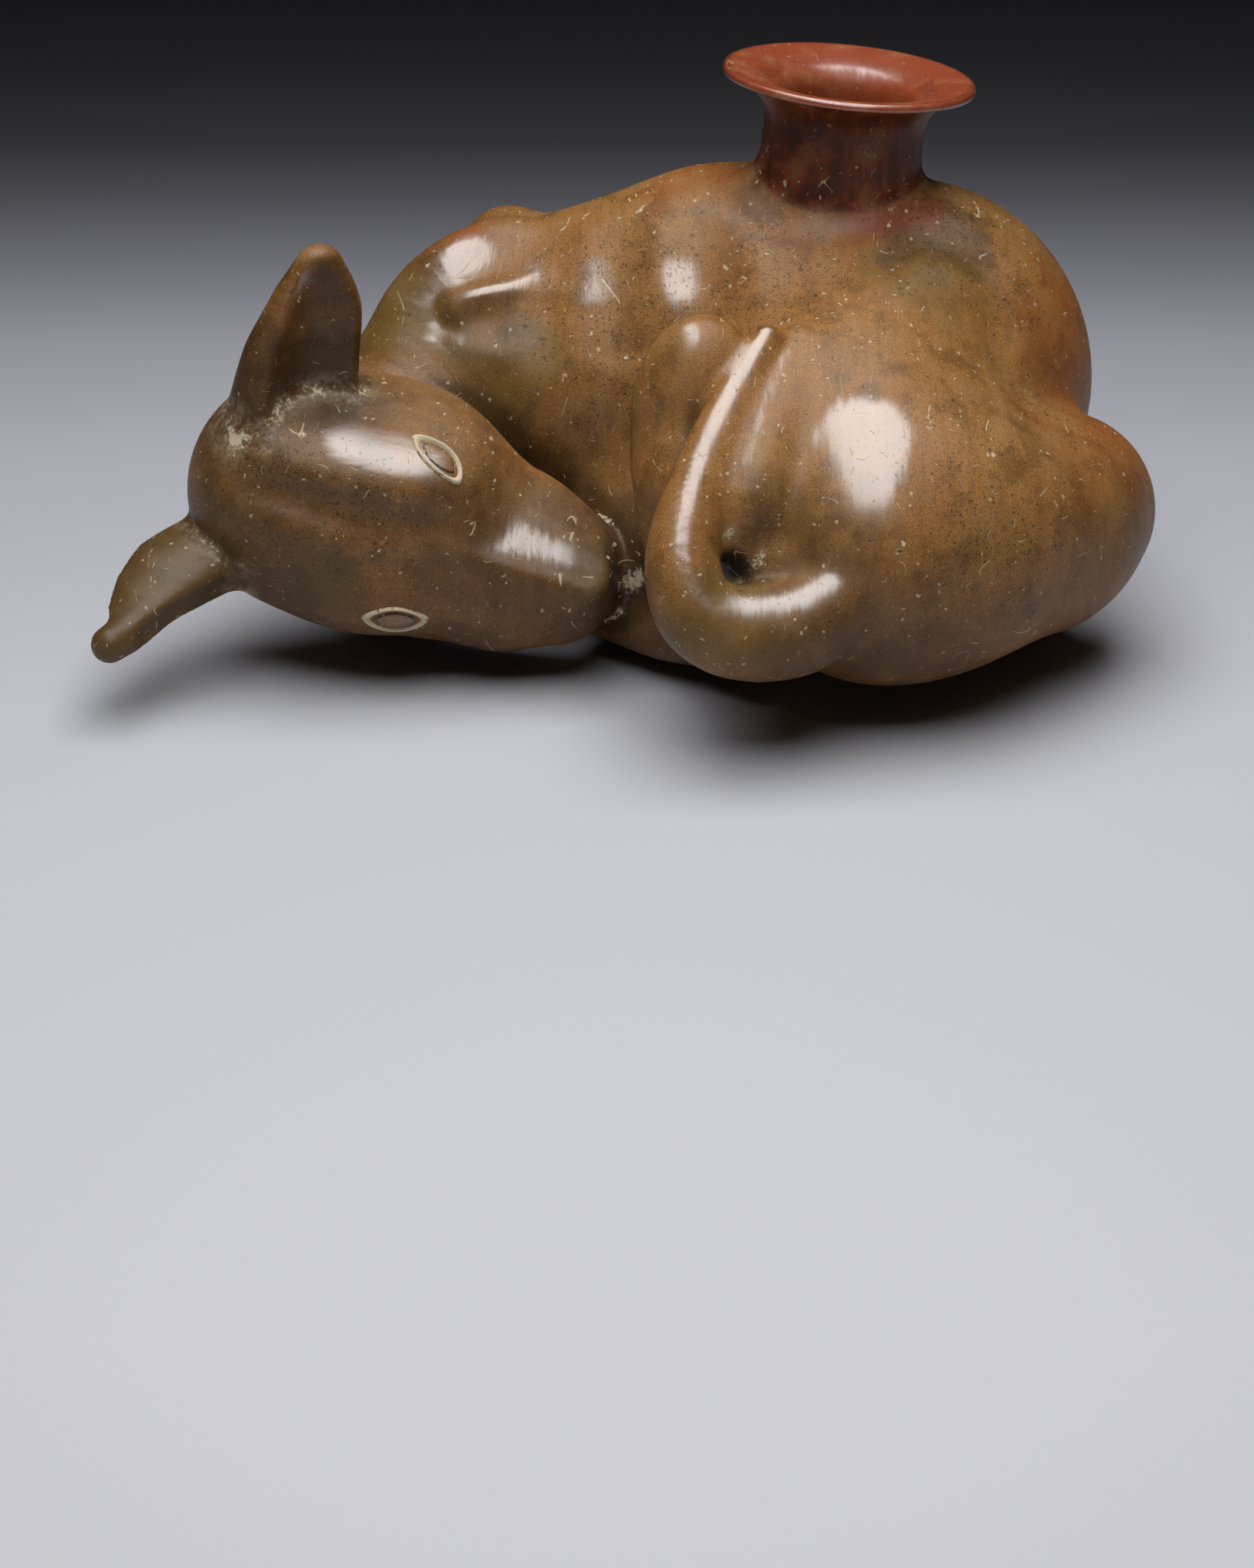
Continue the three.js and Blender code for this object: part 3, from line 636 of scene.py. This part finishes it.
# %% Eyes
def eye_points(direction, half, slant, rings, around):
    """Places on the skin under an almond: rings and spokes turned by the slant, found along the outward ray."""
    share = np.linspace(0, 1, rings)[:, None]
    angle = np.linspace(0, 2 * np.pi, around, endpoint=False)[None, :]
    along = half[0] * share * np.cos(angle)
    across = half[1] * share * np.sin(angle) * (1 - 0.28 * np.cos(angle) ** 2)
    heading = head_axes @ unit(np.array(direction) - (18, 0, -6))
    first = unit(np.cross(left_axis, heading))
    second = np.cross(heading, first)
    turn = np.radians(slant)
    u, v = first * np.cos(turn) + second * np.sin(turn), second * np.cos(turn) - first * np.sin(turn)
    start = on_head(direction) + along[..., None] * u + across[..., None] * v
    places = start.reshape(-1, 3) + heading * 6
    for _ in range(24):
        places = places - heading * clay_form(places.astype(np.float32))[:, None] * 0.8
    return places, np.broadcast_to(share, (rings, around)).reshape(-1)


def eye_piece(name, direction, slant, half, rings=26, around=72):
    """Almond pellet: height over the skin by ring share, with a ridge at 0.86, a groove at 0.68 and a low dome
    inside 0.62, closed below."""
    places, share = eye_points(direction, half, slant, rings, around)
    normals, _ = slope(places.astype(np.float32))
    ridge = np.exp(-(((share - 0.86) / 0.1) ** 2)) * 0.75
    groove = np.exp(-(((share - 0.68) / 0.075) ** 2)) * 0.9
    pellet = 0.55 * np.sqrt(np.clip(1 - (share / 0.62) ** 2, 0, 1))
    height = 0.12 + ridge + pellet - groove * 0.55 - 0.5 * np.clip((share - 0.94) / 0.06, 0, 1)
    top = places + normals * height[:, None]
    bottom = places - normals * 1.5
    i, j = np.meshgrid(np.arange(rings - 1), np.arange(around), indexing="ij")
    index = lambda a, b: a * around + b % around
    upper = np.stack([index(i, j), index(i + 1, j), index(i + 1, j + 1), index(i, j + 1)], axis=-1).reshape(-1, 4)
    total = rings * around
    rim = (rings - 1) * around + np.arange(around)
    following = (rings - 1) * around + (np.arange(around) + 1) % around
    wall = np.stack([rim, rim + total, following + total, following], axis=1)
    faces = np.concatenate([upper, upper[:, ::-1] + total, wall])
    points = np.concatenate([top, bottom]) + shift
    numbers = {"eye_ring": np.tile(share, 2)}
    return mesh_piece(name, points, faces, None, numbers)


pieces["left_eye"] = eye_piece("left_eye", (42.5, 28.2, 16), -66, (10.2, 5.4))
pieces["right_eye"] = eye_piece("right_eye", (34.6, -22.5, 12), 30, (10.0, 4.9))
print("all pieces:", len(pieces))

# %% [markdown]
# The skin of such a vessel is usually a thin coat of clay slip, rubbed with a smooth stone until it shines.
# Time has added the rest: fire clouds of orange and olive, manganese specks, lime in the hollows, and
# scratches. Each of these effects is a group of its own, so that it can be used on any piece. They all read
# the place on the object in metres, and a few helpers keep the node trees readable.

# %% Node helpers
def new_group(name, inputs, outputs):
    """A shader node group with named sockets. Returns the group and its input and output nodes."""
    group = bpy.data.node_groups.new(name, "ShaderNodeTree")
    for label, kind, value in inputs:
        socket = group.interface.new_socket(label, in_out="INPUT", socket_type="NodeSocket" + kind)
        if value is not None:
            socket.default_value = value
    for label, kind in outputs:
        group.interface.new_socket(label, in_out="OUTPUT", socket_type="NodeSocket" + kind)
    return group, group.nodes.new("NodeGroupInput").outputs, group.nodes.new("NodeGroupOutput").inputs


def put(tree, kind, links=None, **settings):
    """A node with its settings, and its sockets linked or set by name or number."""
    node = tree.nodes.new(kind)
    for key, value in settings.items():
        setattr(node, key, value)
    for key, value in (links or {}).items():
        socket = node.inputs[key]
        if isinstance(value, bpy.types.NodeSocket):
            tree.links.new(value, socket)
        else:
            socket.default_value = value
    return node


def use(tree, group, **values):
    """A group in a tree. Its sockets are named by the keys, with _ for a space."""
    node = put(tree, "ShaderNodeGroup", node_tree=group)
    for key, value in values.items():
        socket = node.inputs[key.replace("_", " ")]
        if isinstance(value, bpy.types.NodeSocket):
            tree.links.new(value, socket)
        else:
            socket.default_value = value
    return node.outputs


def math(tree, operation, *values, clamp=False):
    return put(tree, "ShaderNodeMath", dict(enumerate(values)), operation=operation, use_clamp=clamp).outputs[0]


def step(tree, value, low, high, out_low=0.0, out_high=1.0):
    """Smooth step of a value between two limits."""
    links = {0: value, 1: low, 2: high, 3: out_low, 4: out_high}
    return put(tree, "ShaderNodeMapRange", links, interpolation_type="SMOOTHSTEP").outputs[0]


def noise(tree, place, scale, detail=3.0, roughness=0.55, distortion=0.0):
    links = {"Vector": place, "Scale": scale, "Detail": detail, "Roughness": roughness, "Distortion": distortion}
    return put(tree, "ShaderNodeTexNoise", links).outputs


def stretched(tree, place, scale, turn=(0.0, 0.0, 0.0)):
    """The place turned and scaled, which stretches a texture along the axes with a small scale."""
    return put(tree, "ShaderNodeMapping", {"Vector": place, "Rotation": turn, "Scale": scale}).outputs[0]


def mix(tree, share, first, second, blend_type="MIX"):
    links = {0: share, 6: first, 7: second}
    return put(tree, "ShaderNodeMix", links, data_type="RGBA", blend_type=blend_type).outputs[2]


def rgb(*values):
    """Colour as read from a picture, 0 to 255, as the linear value that a shader takes."""
    v = np.array(values) / 255
    return tuple(np.where(v <= 0.04045, v / 12.92, ((v + 0.055) / 1.055) ** 2.4)) + (1.0,)


# %% [markdown]
# A burnishing stone leaves long faint facets. On the body they run up and down, and on the head they follow
# the nose. The same noise gives both, stretched two ways.

# %% Burnish
burnish, given, out = new_group("Burnish", [("Place", "Vector", None), ("Along nose", "Float", 0.0)],
                                [("Streak", "Float"), ("Facet", "Float")])
g = burnish
upright = stretched(g, given["Place"], (1.0, 0.16, 0.16), (0.12, 0.0, 0.2))
lengthwise = stretched(g, given["Place"], (0.14, 1.0, 1.0), (0.0, 0.2, -0.22))
way = put(g, "ShaderNodeMix", {0: given["Along nose"], 4: upright, 5: lengthwise}, data_type="VECTOR").outputs[1]
g.links.new(noise(g, way, 420.0, 4.0, 0.65)[0], out["Streak"])
g.links.new(noise(g, way, 110.0, 2.0, 0.5)[0], out["Facet"])

# %% [markdown]
# Scratches are thin lines where a stretched noise passes through its middle value, broken into short
# lengths by a second noise. Four turns of the same group cross each other, as scratches from cleaning and
# digging do.

# %% Scratches
scratch_inputs = [("Place", "Vector", None), ("Turn", "Vector", (0, 0, 0)), ("Scale", "Float", 90.0),
                  ("Share", "Float", 0.3)]
scratches, given, out = new_group("Scratches", scratch_inputs, [("Mask", "Float")])
g = scratches
stretch = {"Vector": given["Place"], "Rotation": given["Turn"], "Scale": (1, 0.05, 1)}
turned = put(g, "ShaderNodeMapping", stretch).outputs[0]
wave = noise(g, turned, given["Scale"], 0.0, 0.4)[0]
line = step(g, math(g, "ABSOLUTE", math(g, "SUBTRACT", wave, 0.5)), 0.0, 0.008, 1.0, 0.0)
length_noise = noise(g, given["Place"], math(g, "MULTIPLY", given["Scale"], 1.6), 2.0)[0]
limit = math(g, "SUBTRACT", 0.78, math(g, "MULTIPLY", given["Share"], 0.4))
broken = step(g, math(g, "SUBTRACT", length_noise, limit), 0.0, 0.03)
g.links.new(math(g, "MULTIPLY", line, broken), out["Mask"])

# %% [markdown]
# Flecks are the hearts of Voronoi cells: only a share of the cells has one, and each is a little ragged.
# Small dark ones are manganese specks, and larger pale ones are crumbs of lime and pits with dust in them.

# %% Flecks
flecks, given, out = new_group("Flecks", [("Place", "Vector", None), ("Scale", "Float", 300.0),
                                          ("Share", "Float", 0.2), ("Size", "Float", 0.3)], [("Mask", "Float")])
g = flecks
wobble = noise(g, given["Place"], 700.0, 3.0, 0.7)[1]
ragged = put(g, "ShaderNodeVectorMath", {0: wobble, 1: (0.0024,) * 3}, operation="MULTIPLY")
moved = put(g, "ShaderNodeVectorMath", {0: given["Place"], 1: ragged.outputs[0]}, operation="ADD").outputs[0]
cells = put(g, "ShaderNodeTexVoronoi", {"Vector": moved, "Scale": given["Scale"]})
chance = put(g, "ShaderNodeSeparateColor", {0: cells.outputs["Color"]}).outputs
size = math(g, "MULTIPLY", given["Size"], math(g, "ADD", 0.4, chance[1]))
heart = step(g, math(g, "DIVIDE", cells.outputs["Distance"], size), 0.6, 1.0, 1.0, 0.0)
chosen = math(g, "LESS_THAN", chance[0], given["Share"])
g.links.new(math(g, "MULTIPLY", heart, chosen), out["Mask"])

# %% [markdown]
# A patch is a soft cloud round a place, with an edge that noise makes uneven. Fire clouds, lime
# and shade are all patches.

# %% Patch
patch, given, out = new_group("Patch", [("Place", "Vector", None), ("Centre", "Vector", (0, 0, 0)),
                                        ("Radius", "Float", 0.03), ("Uneven", "Float", 0.5)], [("Mask", "Float")])
g = patch
ends = {0: given["Place"], 1: given["Centre"]}
away = put(g, "ShaderNodeVectorMath", ends, operation="DISTANCE").outputs["Value"]
share = math(g, "DIVIDE", away, given["Radius"])
edge_noise = math(g, "SUBTRACT", noise(g, given["Place"], 55.0, 3.0)[0], 0.5)
waver = math(g, "MULTIPLY", edge_noise, math(g, "MULTIPLY", given["Uneven"], 3.0))
g.links.new(step(g, math(g, "ADD", share, waver), 0.35, 1.1, 1.0, 0.0), out["Mask"])


# %% [markdown]
# Now the slip itself. The colours go on in the order of their history: slip, fire clouds, specks, wear, and
# lime last, and shade is painted in among them where it falls. Patches are listed with their places in the
# frame, in millimetres, because each belongs to one spot of this vessel.

# %% Material of the skin
def spots(tree, place, entries):
    """The strongest of several patches: each entry is a centre, a radius and an unevenness, in millimetres."""
    total = 0.0
    for centre, radius, uneven in entries:
        middle_of = tuple(np.array(centre) * MM)
        here = use(tree, patch, Place=place, Centre=middle_of, Radius=radius * MM, Uneven=uneven)[0]
        total = here if total == 0.0 else math(tree, "MAXIMUM", total, here)
    return total


orange_clouds = [
    ((132, 17, 92), 32, 0.5), ((148, -16, 72), 22, 0.5), ((122, -30, 66), 24, 0.7),
    ((-52, 50, 119), 15, 0.6), ((20, 55, 132), 22, 0.8),
]
olive_clouds = [
    ((-140, -44, 36), 44, 0.3), ((-7, -40, 38), 15, 0.4), ((-72, 30, 97), 20, 0.5),
    ((92, 0, 119), 26, 0.6), ((-88, -20, 100), 14, 0.7), ((-92, -44, 40), 17, 0.9),
    ((-40, 22, 78), 26, 0.9), ((30, -98, 44), 26, 0.7),
]
# Dark clouds: smoke near the loin and spout foot, and painted shade under the head, low at the front and on the
# ears
smoke_and_shade_clouds = [
    ((-100, -22, 52), 42, 0.7), ((-30, -30, 45), 40, 0.8), ((37, 29, 133), 10, 0.9),
    ((60, -80, 30), 55, 0.6), ((8, -40, 30), 34, 0.6), ((97, 17, 123), 20, 1.0),
    ((-42, 16, 100), 15, 0.5), ((-94, -28, 96), 20, 0.3), ((-94, -26, 80), 18, 0.3),
    ((-118, -16, 76), 22, 0.4), ((-140, -44, 36), 44, 0.3),
]
speck_clouds = [
    ((96, 17, 123), 30, 0.6), ((-106, -38, 68), 30, 0.6), ((110, 12, 112), 22, 0.5),
    ((104, -66, 66), 34, 0.9), ((-84, -46, 58), 22, 0.7), ((130, -20, 84), 22, 0.6),
    ((0, 20, 100), 40, 0.8), ((40, 0, 120), 30, 0.8),
]
lime_places = [((38, -77, 60), 7, 0.7), ((28, -76, 68), 6, 0.8), ((0, -25, 30), 12, 0.8)]
shade_places = [((-88, -20, 96), 26, 0.3), ((-89, -19, 116), 20, 0.3), ((-110, -24, 100), 22, 0.4)]

TAN, BROWN, UMBER, WARM = rgb(158, 112, 60), rgb(106, 72, 36), rgb(84, 58, 32), rgb(144, 90, 38)
DEEP, SAND, ORANGE, OLIVE = rgb(88, 56, 26), rgb(172, 136, 88), rgb(148, 76, 26), rgb(100, 82, 36)
SMOKE_AND_SHADE, SOOT_AND_SHADE, HAZE = rgb(62, 46, 30), rgb(32, 24, 16), rgb(142, 118, 88)
LIME, HOLLOW_SHADE = rgb(212, 198, 166), rgb(44, 30, 16)
BRICK, PALE_BRICK, RED = rgb(138, 62, 34), rgb(150, 92, 58), rgb(132, 60, 36)
NECK, NECK_DARK = rgb(118, 52, 28), rgb(72, 34, 16)


def skin_material(name, red=False, eye=False):
    """Burnished slip. With red, the whole piece is red slip; with eye, lime lies round the pellet."""
    material = bpy.data.materials.new(name)
    material.use_nodes = True
    tree = material.node_tree
    tree.nodes.clear()
    number = lambda label: put(tree, "ShaderNodeAttribute", attribute_name=label).outputs["Fac"]
    add = lambda a, b, clamp=False: math(tree, "ADD", a, b, clamp=clamp)
    times = lambda a, b, clamp=False: math(tree, "MULTIPLY", a, b, clamp=clamp)
    most = lambda a, b: math(tree, "MAXIMUM", a, b)
    place = put(tree, "ShaderNodeTexCoord").outputs["Object"]
    x, _, z = put(tree, "ShaderNodeSeparateXYZ", {0: place}).outputs
    on_head = step(tree, x, -0.02, -0.05)
    streak, facet = use(tree, burnish, Place=place, Along_nose=on_head)
    broad = noise(tree, place, 22.0, 4.0, 0.6)[0]
    middle = noise(tree, place, 90.0, 4.0, 0.6)[0]
    fine = noise(tree, place, 700.0, 3.0, 0.6)[0]
    grain = noise(tree, place, 2300.0, 2.0, 0.7)[0]

    # Slip, with shade painted in low down as a darker brown, darker on the head, and with streaks and grain
    low = step(tree, add(z, times(broad, 0.05)), 0.045, 0.105, 1.0, 0.0)
    colour = mix(tree, low, TAN, BROWN)
    colour = mix(tree, times(on_head, 0.5), colour, UMBER)
    colour = mix(tree, step(tree, broad, 0.44, 0.6, 0.0, 0.5), colour, WARM)
    colour = mix(tree, step(tree, broad, 0.5, 0.34, 0.0, 0.45), colour, BROWN)
    colour = mix(tree, step(tree, streak, 0.42, 0.68, 0.0, 0.24), colour, DEEP)
    colour = mix(tree, step(tree, facet, 0.5, 0.72, 0.0, 0.2), colour, SAND)
    colour = mix(tree, step(tree, middle, 0.52, 0.34, 0.0, 0.5), colour, DEEP)
    colour = mix(tree, step(tree, grain, 0.45, 0.65, 0.0, 0.6), colour, DEEP)
    colour = mix(tree, step(tree, grain, 0.48, 0.3, 0.0, 0.4), colour, SAND)

    # Fire clouds; the dark ones are smoke, and also painted shade low down, under the head and on the ears
    colour = mix(tree, times(spots(tree, place, orange_clouds), 0.42), colour, ORANGE)
    colour = mix(tree, times(spots(tree, place, olive_clouds), 0.5), colour, OLIVE)
    colour = mix(tree, times(spots(tree, place, smoke_and_shade_clouds), 0.45), colour, SMOKE_AND_SHADE)

    # Painted shade in and beside the cup of the left ear
    colour = mix(tree, times(spots(tree, place, shade_places), 0.6), colour, SOOT_AND_SHADE)

    # Red slip of the spout: brick inside; outside on the neck darker and mottled, partly as painted shade under the
    # lip; with a wash that runs onto the body
    neck_mottle = step(tree, add(times(middle, 0.7), times(streak, 0.3)), 0.4, 0.6)
    neck = mix(tree, neck_mottle, NECK_DARK, NECK)
    neck = mix(tree, step(tree, add(middle, times(fine, 0.3)), 0.66, 0.84, 0.0, 0.5), neck, BROWN)
    if red:
        brick = mix(tree, step(tree, middle, 0.45, 0.7, 0.0, 0.6), BRICK, PALE_BRICK)
        brick = mix(tree, step(tree, grain, 0.45, 0.7, 0.0, 0.3), brick, NECK)
        colour = mix(tree, number("inside"), neck, brick)
    elif not eye:
        near_spout = add(number("spout_near"), times(math(tree, "SUBTRACT", middle, 0.5), 0.5))
        front = spots(tree, place, [((80, 20, 128), 24, 0.5)])
        wash = times(step(tree, near_spout, 0.3, 0.75, 0.0, 0.7), add(0.1, front), clamp=True)
        colour = mix(tree, wash, colour, RED)
        on_tube = add(number("spout_near"), times(math(tree, "SUBTRACT", middle, 0.5), 0.08))
        colour = mix(tree, step(tree, on_tube, 0.94, 0.98), colour, neck)

    # Specks, scratches and crumbs
    speck_place = add(0.04, spots(tree, place, speck_clouds))
    specks = use(tree, flecks, Place=place, Scale=1150.0, Share=times(speck_place, 0.3), Size=0.5)[0]
    larger = use(tree, flecks, Place=place, Scale=520.0, Share=times(speck_place, 0.03), Size=0.4)[0]
    specks = most(specks, larger)
    colour = mix(tree, times(specks, 0.6), colour, SOOT_AND_SHADE)
    turns = [(0.5, 0.3, 0.9), (1.9, 0.6, 0.2), (0.2, 1.4, 2.2), (1.1, 2.3, 0.4)]
    lines = 0.0
    for number_of, turn in enumerate(turns):
        here = use(tree, scratches, Place=place, Turn=turn, Scale=70.0 + 35 * number_of, Share=0.4)[0]
        lines = here if lines == 0.0 else most(lines, here)
    crumbs = use(tree, flecks, Place=place, Scale=190.0, Share=0.07, Size=0.13)[0]
    dust = use(tree, flecks, Place=place, Scale=480.0, Share=0.13, Size=0.24)[0]
    scuffs = step(tree, noise(tree, place, 240.0, 7.0, 0.72)[0], 0.69, 0.73)
    pale = most(times(lines, 0.8), most(most(crumbs, times(scuffs, 0.75)), times(dust, 0.7)))
    if red:
        pale = times(pale, 0.35)

    # Haze of old dust, lime in the hollows, and painted shade in the eye's groove, the wide hollows and the pit
    haze = times(step(tree, middle, 0.5, 0.75), 0.2)
    colour = mix(tree, haze, colour, HAZE)
    if eye:
        ring = number("eye_ring")
        ragged = add(ring, times(math(tree, "SUBTRACT", fine, 0.5), 0.5))
        crust = times(step(tree, ragged, 0.6, 0.68), step(tree, ragged, 0.95, 1.03, 1.0, 0.0), clamp=True)
        crust = times(crust, step(tree, grain, 0.2, 0.42, 0.5, 1.0))
        # Painted shade in the groove round the pellet
        groove_shade = times(step(tree, ring, 0.48, 0.56), step(tree, ring, 0.6, 0.68, 1.0, 0.0))
        colour = mix(tree, times(groove_shade, 0.8), colour, SOOT_AND_SHADE)
    elif not red:
        creases = most(number("ear_join"), most(times(number("spout_join"), 0.6), times(number("tail_join"), 0.3)))
        hollow = most(step(tree, number("fine_hollow"), 0.3, 0.8), times(creases, 0.9))
        mixed = add(times(middle, 0.6), times(fine, 0.4))
        hollow = most(hollow, spots(tree, place, lime_places))
        crust = step(tree, add(mixed, times(hollow, 0.34)), 0.75, 0.86)
        # Painted shade in the deep pit inside the tail's loop, with no lime on it
        pit = spots(tree, place, [((29.5, -76, 57.5), 8, 0.15)])
        crust = times(crust, math(tree, "SUBTRACT", 1.0, pit), clamp=True)
        near_lime = most(creases, spots(tree, place, lime_places))
        dusty = times(step(tree, near_lime, 0.1, 0.9), step(tree, mixed, 0.4, 0.62))
        colour = mix(tree, times(dusty, 0.3), colour, LIME)
        # Painted shade, darker where the clay closes round a wide hollow
        hollow_shade = step(tree, number("wide_hollow"), 0.3, 0.85, 0.0, 0.6)
        colour = mix(tree, hollow_shade, colour, HOLLOW_SHADE)
        colour = mix(tree, times(pit, 0.85), colour, SOOT_AND_SHADE)
    else:
        patches = step(tree, add(times(middle, 0.6), times(fine, 0.4)), 0.6, 0.7, 0.0, 0.5)
        crust = times(patches, math(tree, "SUBTRACT", 1.0, number("inside")))
    pale = most(pale, crust)
    colour = mix(tree, times(pale, 0.8), colour, LIME)

    # Shine: high in the rubbed zones, dull elsewhere and where the slip is crusted or scratched
    if eye:
        rubbed = 0.5
    else:
        rubbed = number("rubbed")
    waver = times(math(tree, "SUBTRACT", streak, 0.5), 0.9)
    polish = step(tree, add(rubbed, waver), 0.1, 1.0)
    rough = step(tree, polish, 0.0, 1.0, 0.46, 0.3)
    rough = add(rough, times(math(tree, "SUBTRACT", middle, 0.5), 0.2))
    rough = add(rough, times(pale, 0.4), clamp=True)
    height = times(facet, 0.00016)
    height = add(height, times(streak, 0.00003))
    height = add(height, times(grain, 0.00001))
    height = add(height, times(most(crust, crumbs), 0.00025))
    height = math(tree, "SUBTRACT", height, times(lines, 0.00006))
    height = math(tree, "SUBTRACT", height, times(specks, 0.00004))
    normal = put(tree, "ShaderNodeBump", {"Height": height, "Strength": 1.0, "Distance": 1.0}).outputs[0]
    shine = math(tree, "SUBTRACT", 1.0, times(pale, 0.9))
    coat = times(shine, step(tree, polish, 0.0, 1.0, 0.05, 1.0))
    mirror = step(tree, polish, 0.0, 1.0, 0.3, 0.8)
    coat_rough = step(tree, polish, 0.0, 1.0, 0.36, 0.22)
    links = {"Base Color": colour, "Roughness": rough, "Normal": normal, "Specular IOR Level": mirror,
             "Coat Weight": coat, "Coat Roughness": coat_rough, "Coat Normal": normal, "Coat IOR": 1.62}
    shader = put(tree, "ShaderNodeBsdfPrincipled", links)
    put(tree, "ShaderNodeOutputMaterial", {0: shader.outputs[0]})
    return material


slip = skin_material("burnished_slip")
red = skin_material("red_slip", red=True)
eye_slip = skin_material("eye_slip", eye=True)
print("materials:", [material.name for material in bpy.data.materials])

# %% [markdown]
# Each piece gets its slip and its place in the frame: it rides with the one body, and replaces the plain
# solid of the same name. The vessel is rigid, so nothing moves.

# %% Pieces into the frame
for name, piece in pieces.items():
    piece.data.materials.append({"spout_rim": red, "left_eye": eye_slip, "right_eye": eye_slip}.get(name, slip))
    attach(piece, "root")
    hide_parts(name)

# %% [markdown]
# The photograph looks from in front and from above, with a long lens. The camera's place, pitch and focal
# length were fitted until the vessel's outline fell near the photograph's.

# %% Camera
camera_data = bpy.data.cameras.new("camera")
camera_data.lens = 104.7
camera_data.sensor_width = 36
camera_data.sensor_fit = "AUTO"
camera = bpy.data.objects.new("camera", camera_data)
bpy.context.scene.collection.objects.link(camera)
bpy.context.scene.camera = camera
aim = (np.array([0, 40, 84.5]) + shift) * MM
elevation, distance, pitch = np.radians(20), 1.4, np.radians(25.36)
camera.location = Vector(aim + distance * np.array([0, -np.cos(elevation), np.sin(elevation)]))
camera.rotation_euler = (np.pi / 2 - pitch, 0, 0)

# %% [markdown]
# The vessel stands on grey paper that goes dark towards the back. The fall of light is painted on the paper
# as a ramp of greys over its depth, fitted to the photograph, and not left to a second lamp.

# %% Floor
floor_mesh = bpy.data.meshes.new("floor")
floor_mesh.from_pydata([(-4, -4, 0), (4, -4, 0), (4, 4, 0), (-4, 4, 0)], [], [(0, 1, 2, 3)])
floor = bpy.data.objects.new("floor", floor_mesh)
bpy.context.scene.collection.objects.link(floor)
paper = bpy.data.materials.new("backdrop")
paper.use_nodes = True
tree = paper.node_tree
depth = put(tree, "ShaderNodeSeparateXYZ", {0: put(tree, "ShaderNodeTexCoord").outputs["Object"]}).outputs[1]
share = put(tree, "ShaderNodeMapRange", {0: depth, 1: -0.4, 2: 0.8, 3: 0.0, 4: 1.0}).outputs[0]
ramp = put(tree, "ShaderNodeValToRGB", {0: share})
stops = [(0.0, (190, 190, 195)), (0.27, (186, 187, 193)), (0.47, (172, 172, 180)), (0.56, (154, 154, 162)),
         (0.63, (122, 122, 130)), (0.7, (87, 87, 93)), (0.76, (60, 60, 64)),
         (0.85, (43, 42, 45)), (0.96, (32, 31, 33))]
while len(ramp.color_ramp.elements) < len(stops):
    ramp.color_ramp.elements.new(0.5)
for element, (position, colour) in zip(ramp.color_ramp.elements, stops):
    element.position, element.color = position, rgb(*colour)
paper_shader = tree.nodes["Principled BSDF"]
tree.links.new(ramp.outputs[0], paper_shader.inputs["Base Color"])
paper_shader.inputs["Roughness"].default_value = 0.9
paper_shader.inputs["Specular IOR Level"].default_value = 0.1
floor_mesh.materials.append(paper)

# %% [markdown]
# One large softbox overhead gives soft shadows, and the highlights on the rubbed zones. Its size and place
# were tuned until these looked like the photograph's. The room adds only a trace of cool light.

# %% Light
light_data = bpy.data.lights.new("softbox", "AREA")
light_data.shape = "RECTANGLE"
light_data.size, light_data.size_y = 0.9, 1.5
light_data.energy = 20
softbox = bpy.data.objects.new("softbox", light_data)
bpy.context.scene.collection.objects.link(softbox)
softbox.location = (0.0, -0.36, 1.1)
softbox.rotation_euler = (np.radians(-12), 0, 0)

world = bpy.data.worlds.new("room")
world.use_nodes = True
world.node_tree.nodes["Background"].inputs["Color"].default_value = (0.8, 0.85, 1.0, 1)
world.node_tree.nodes["Background"].inputs["Strength"].default_value = 0.008
bpy.context.scene.world = world
bpy.context.scene.view_settings.view_transform = "Standard"
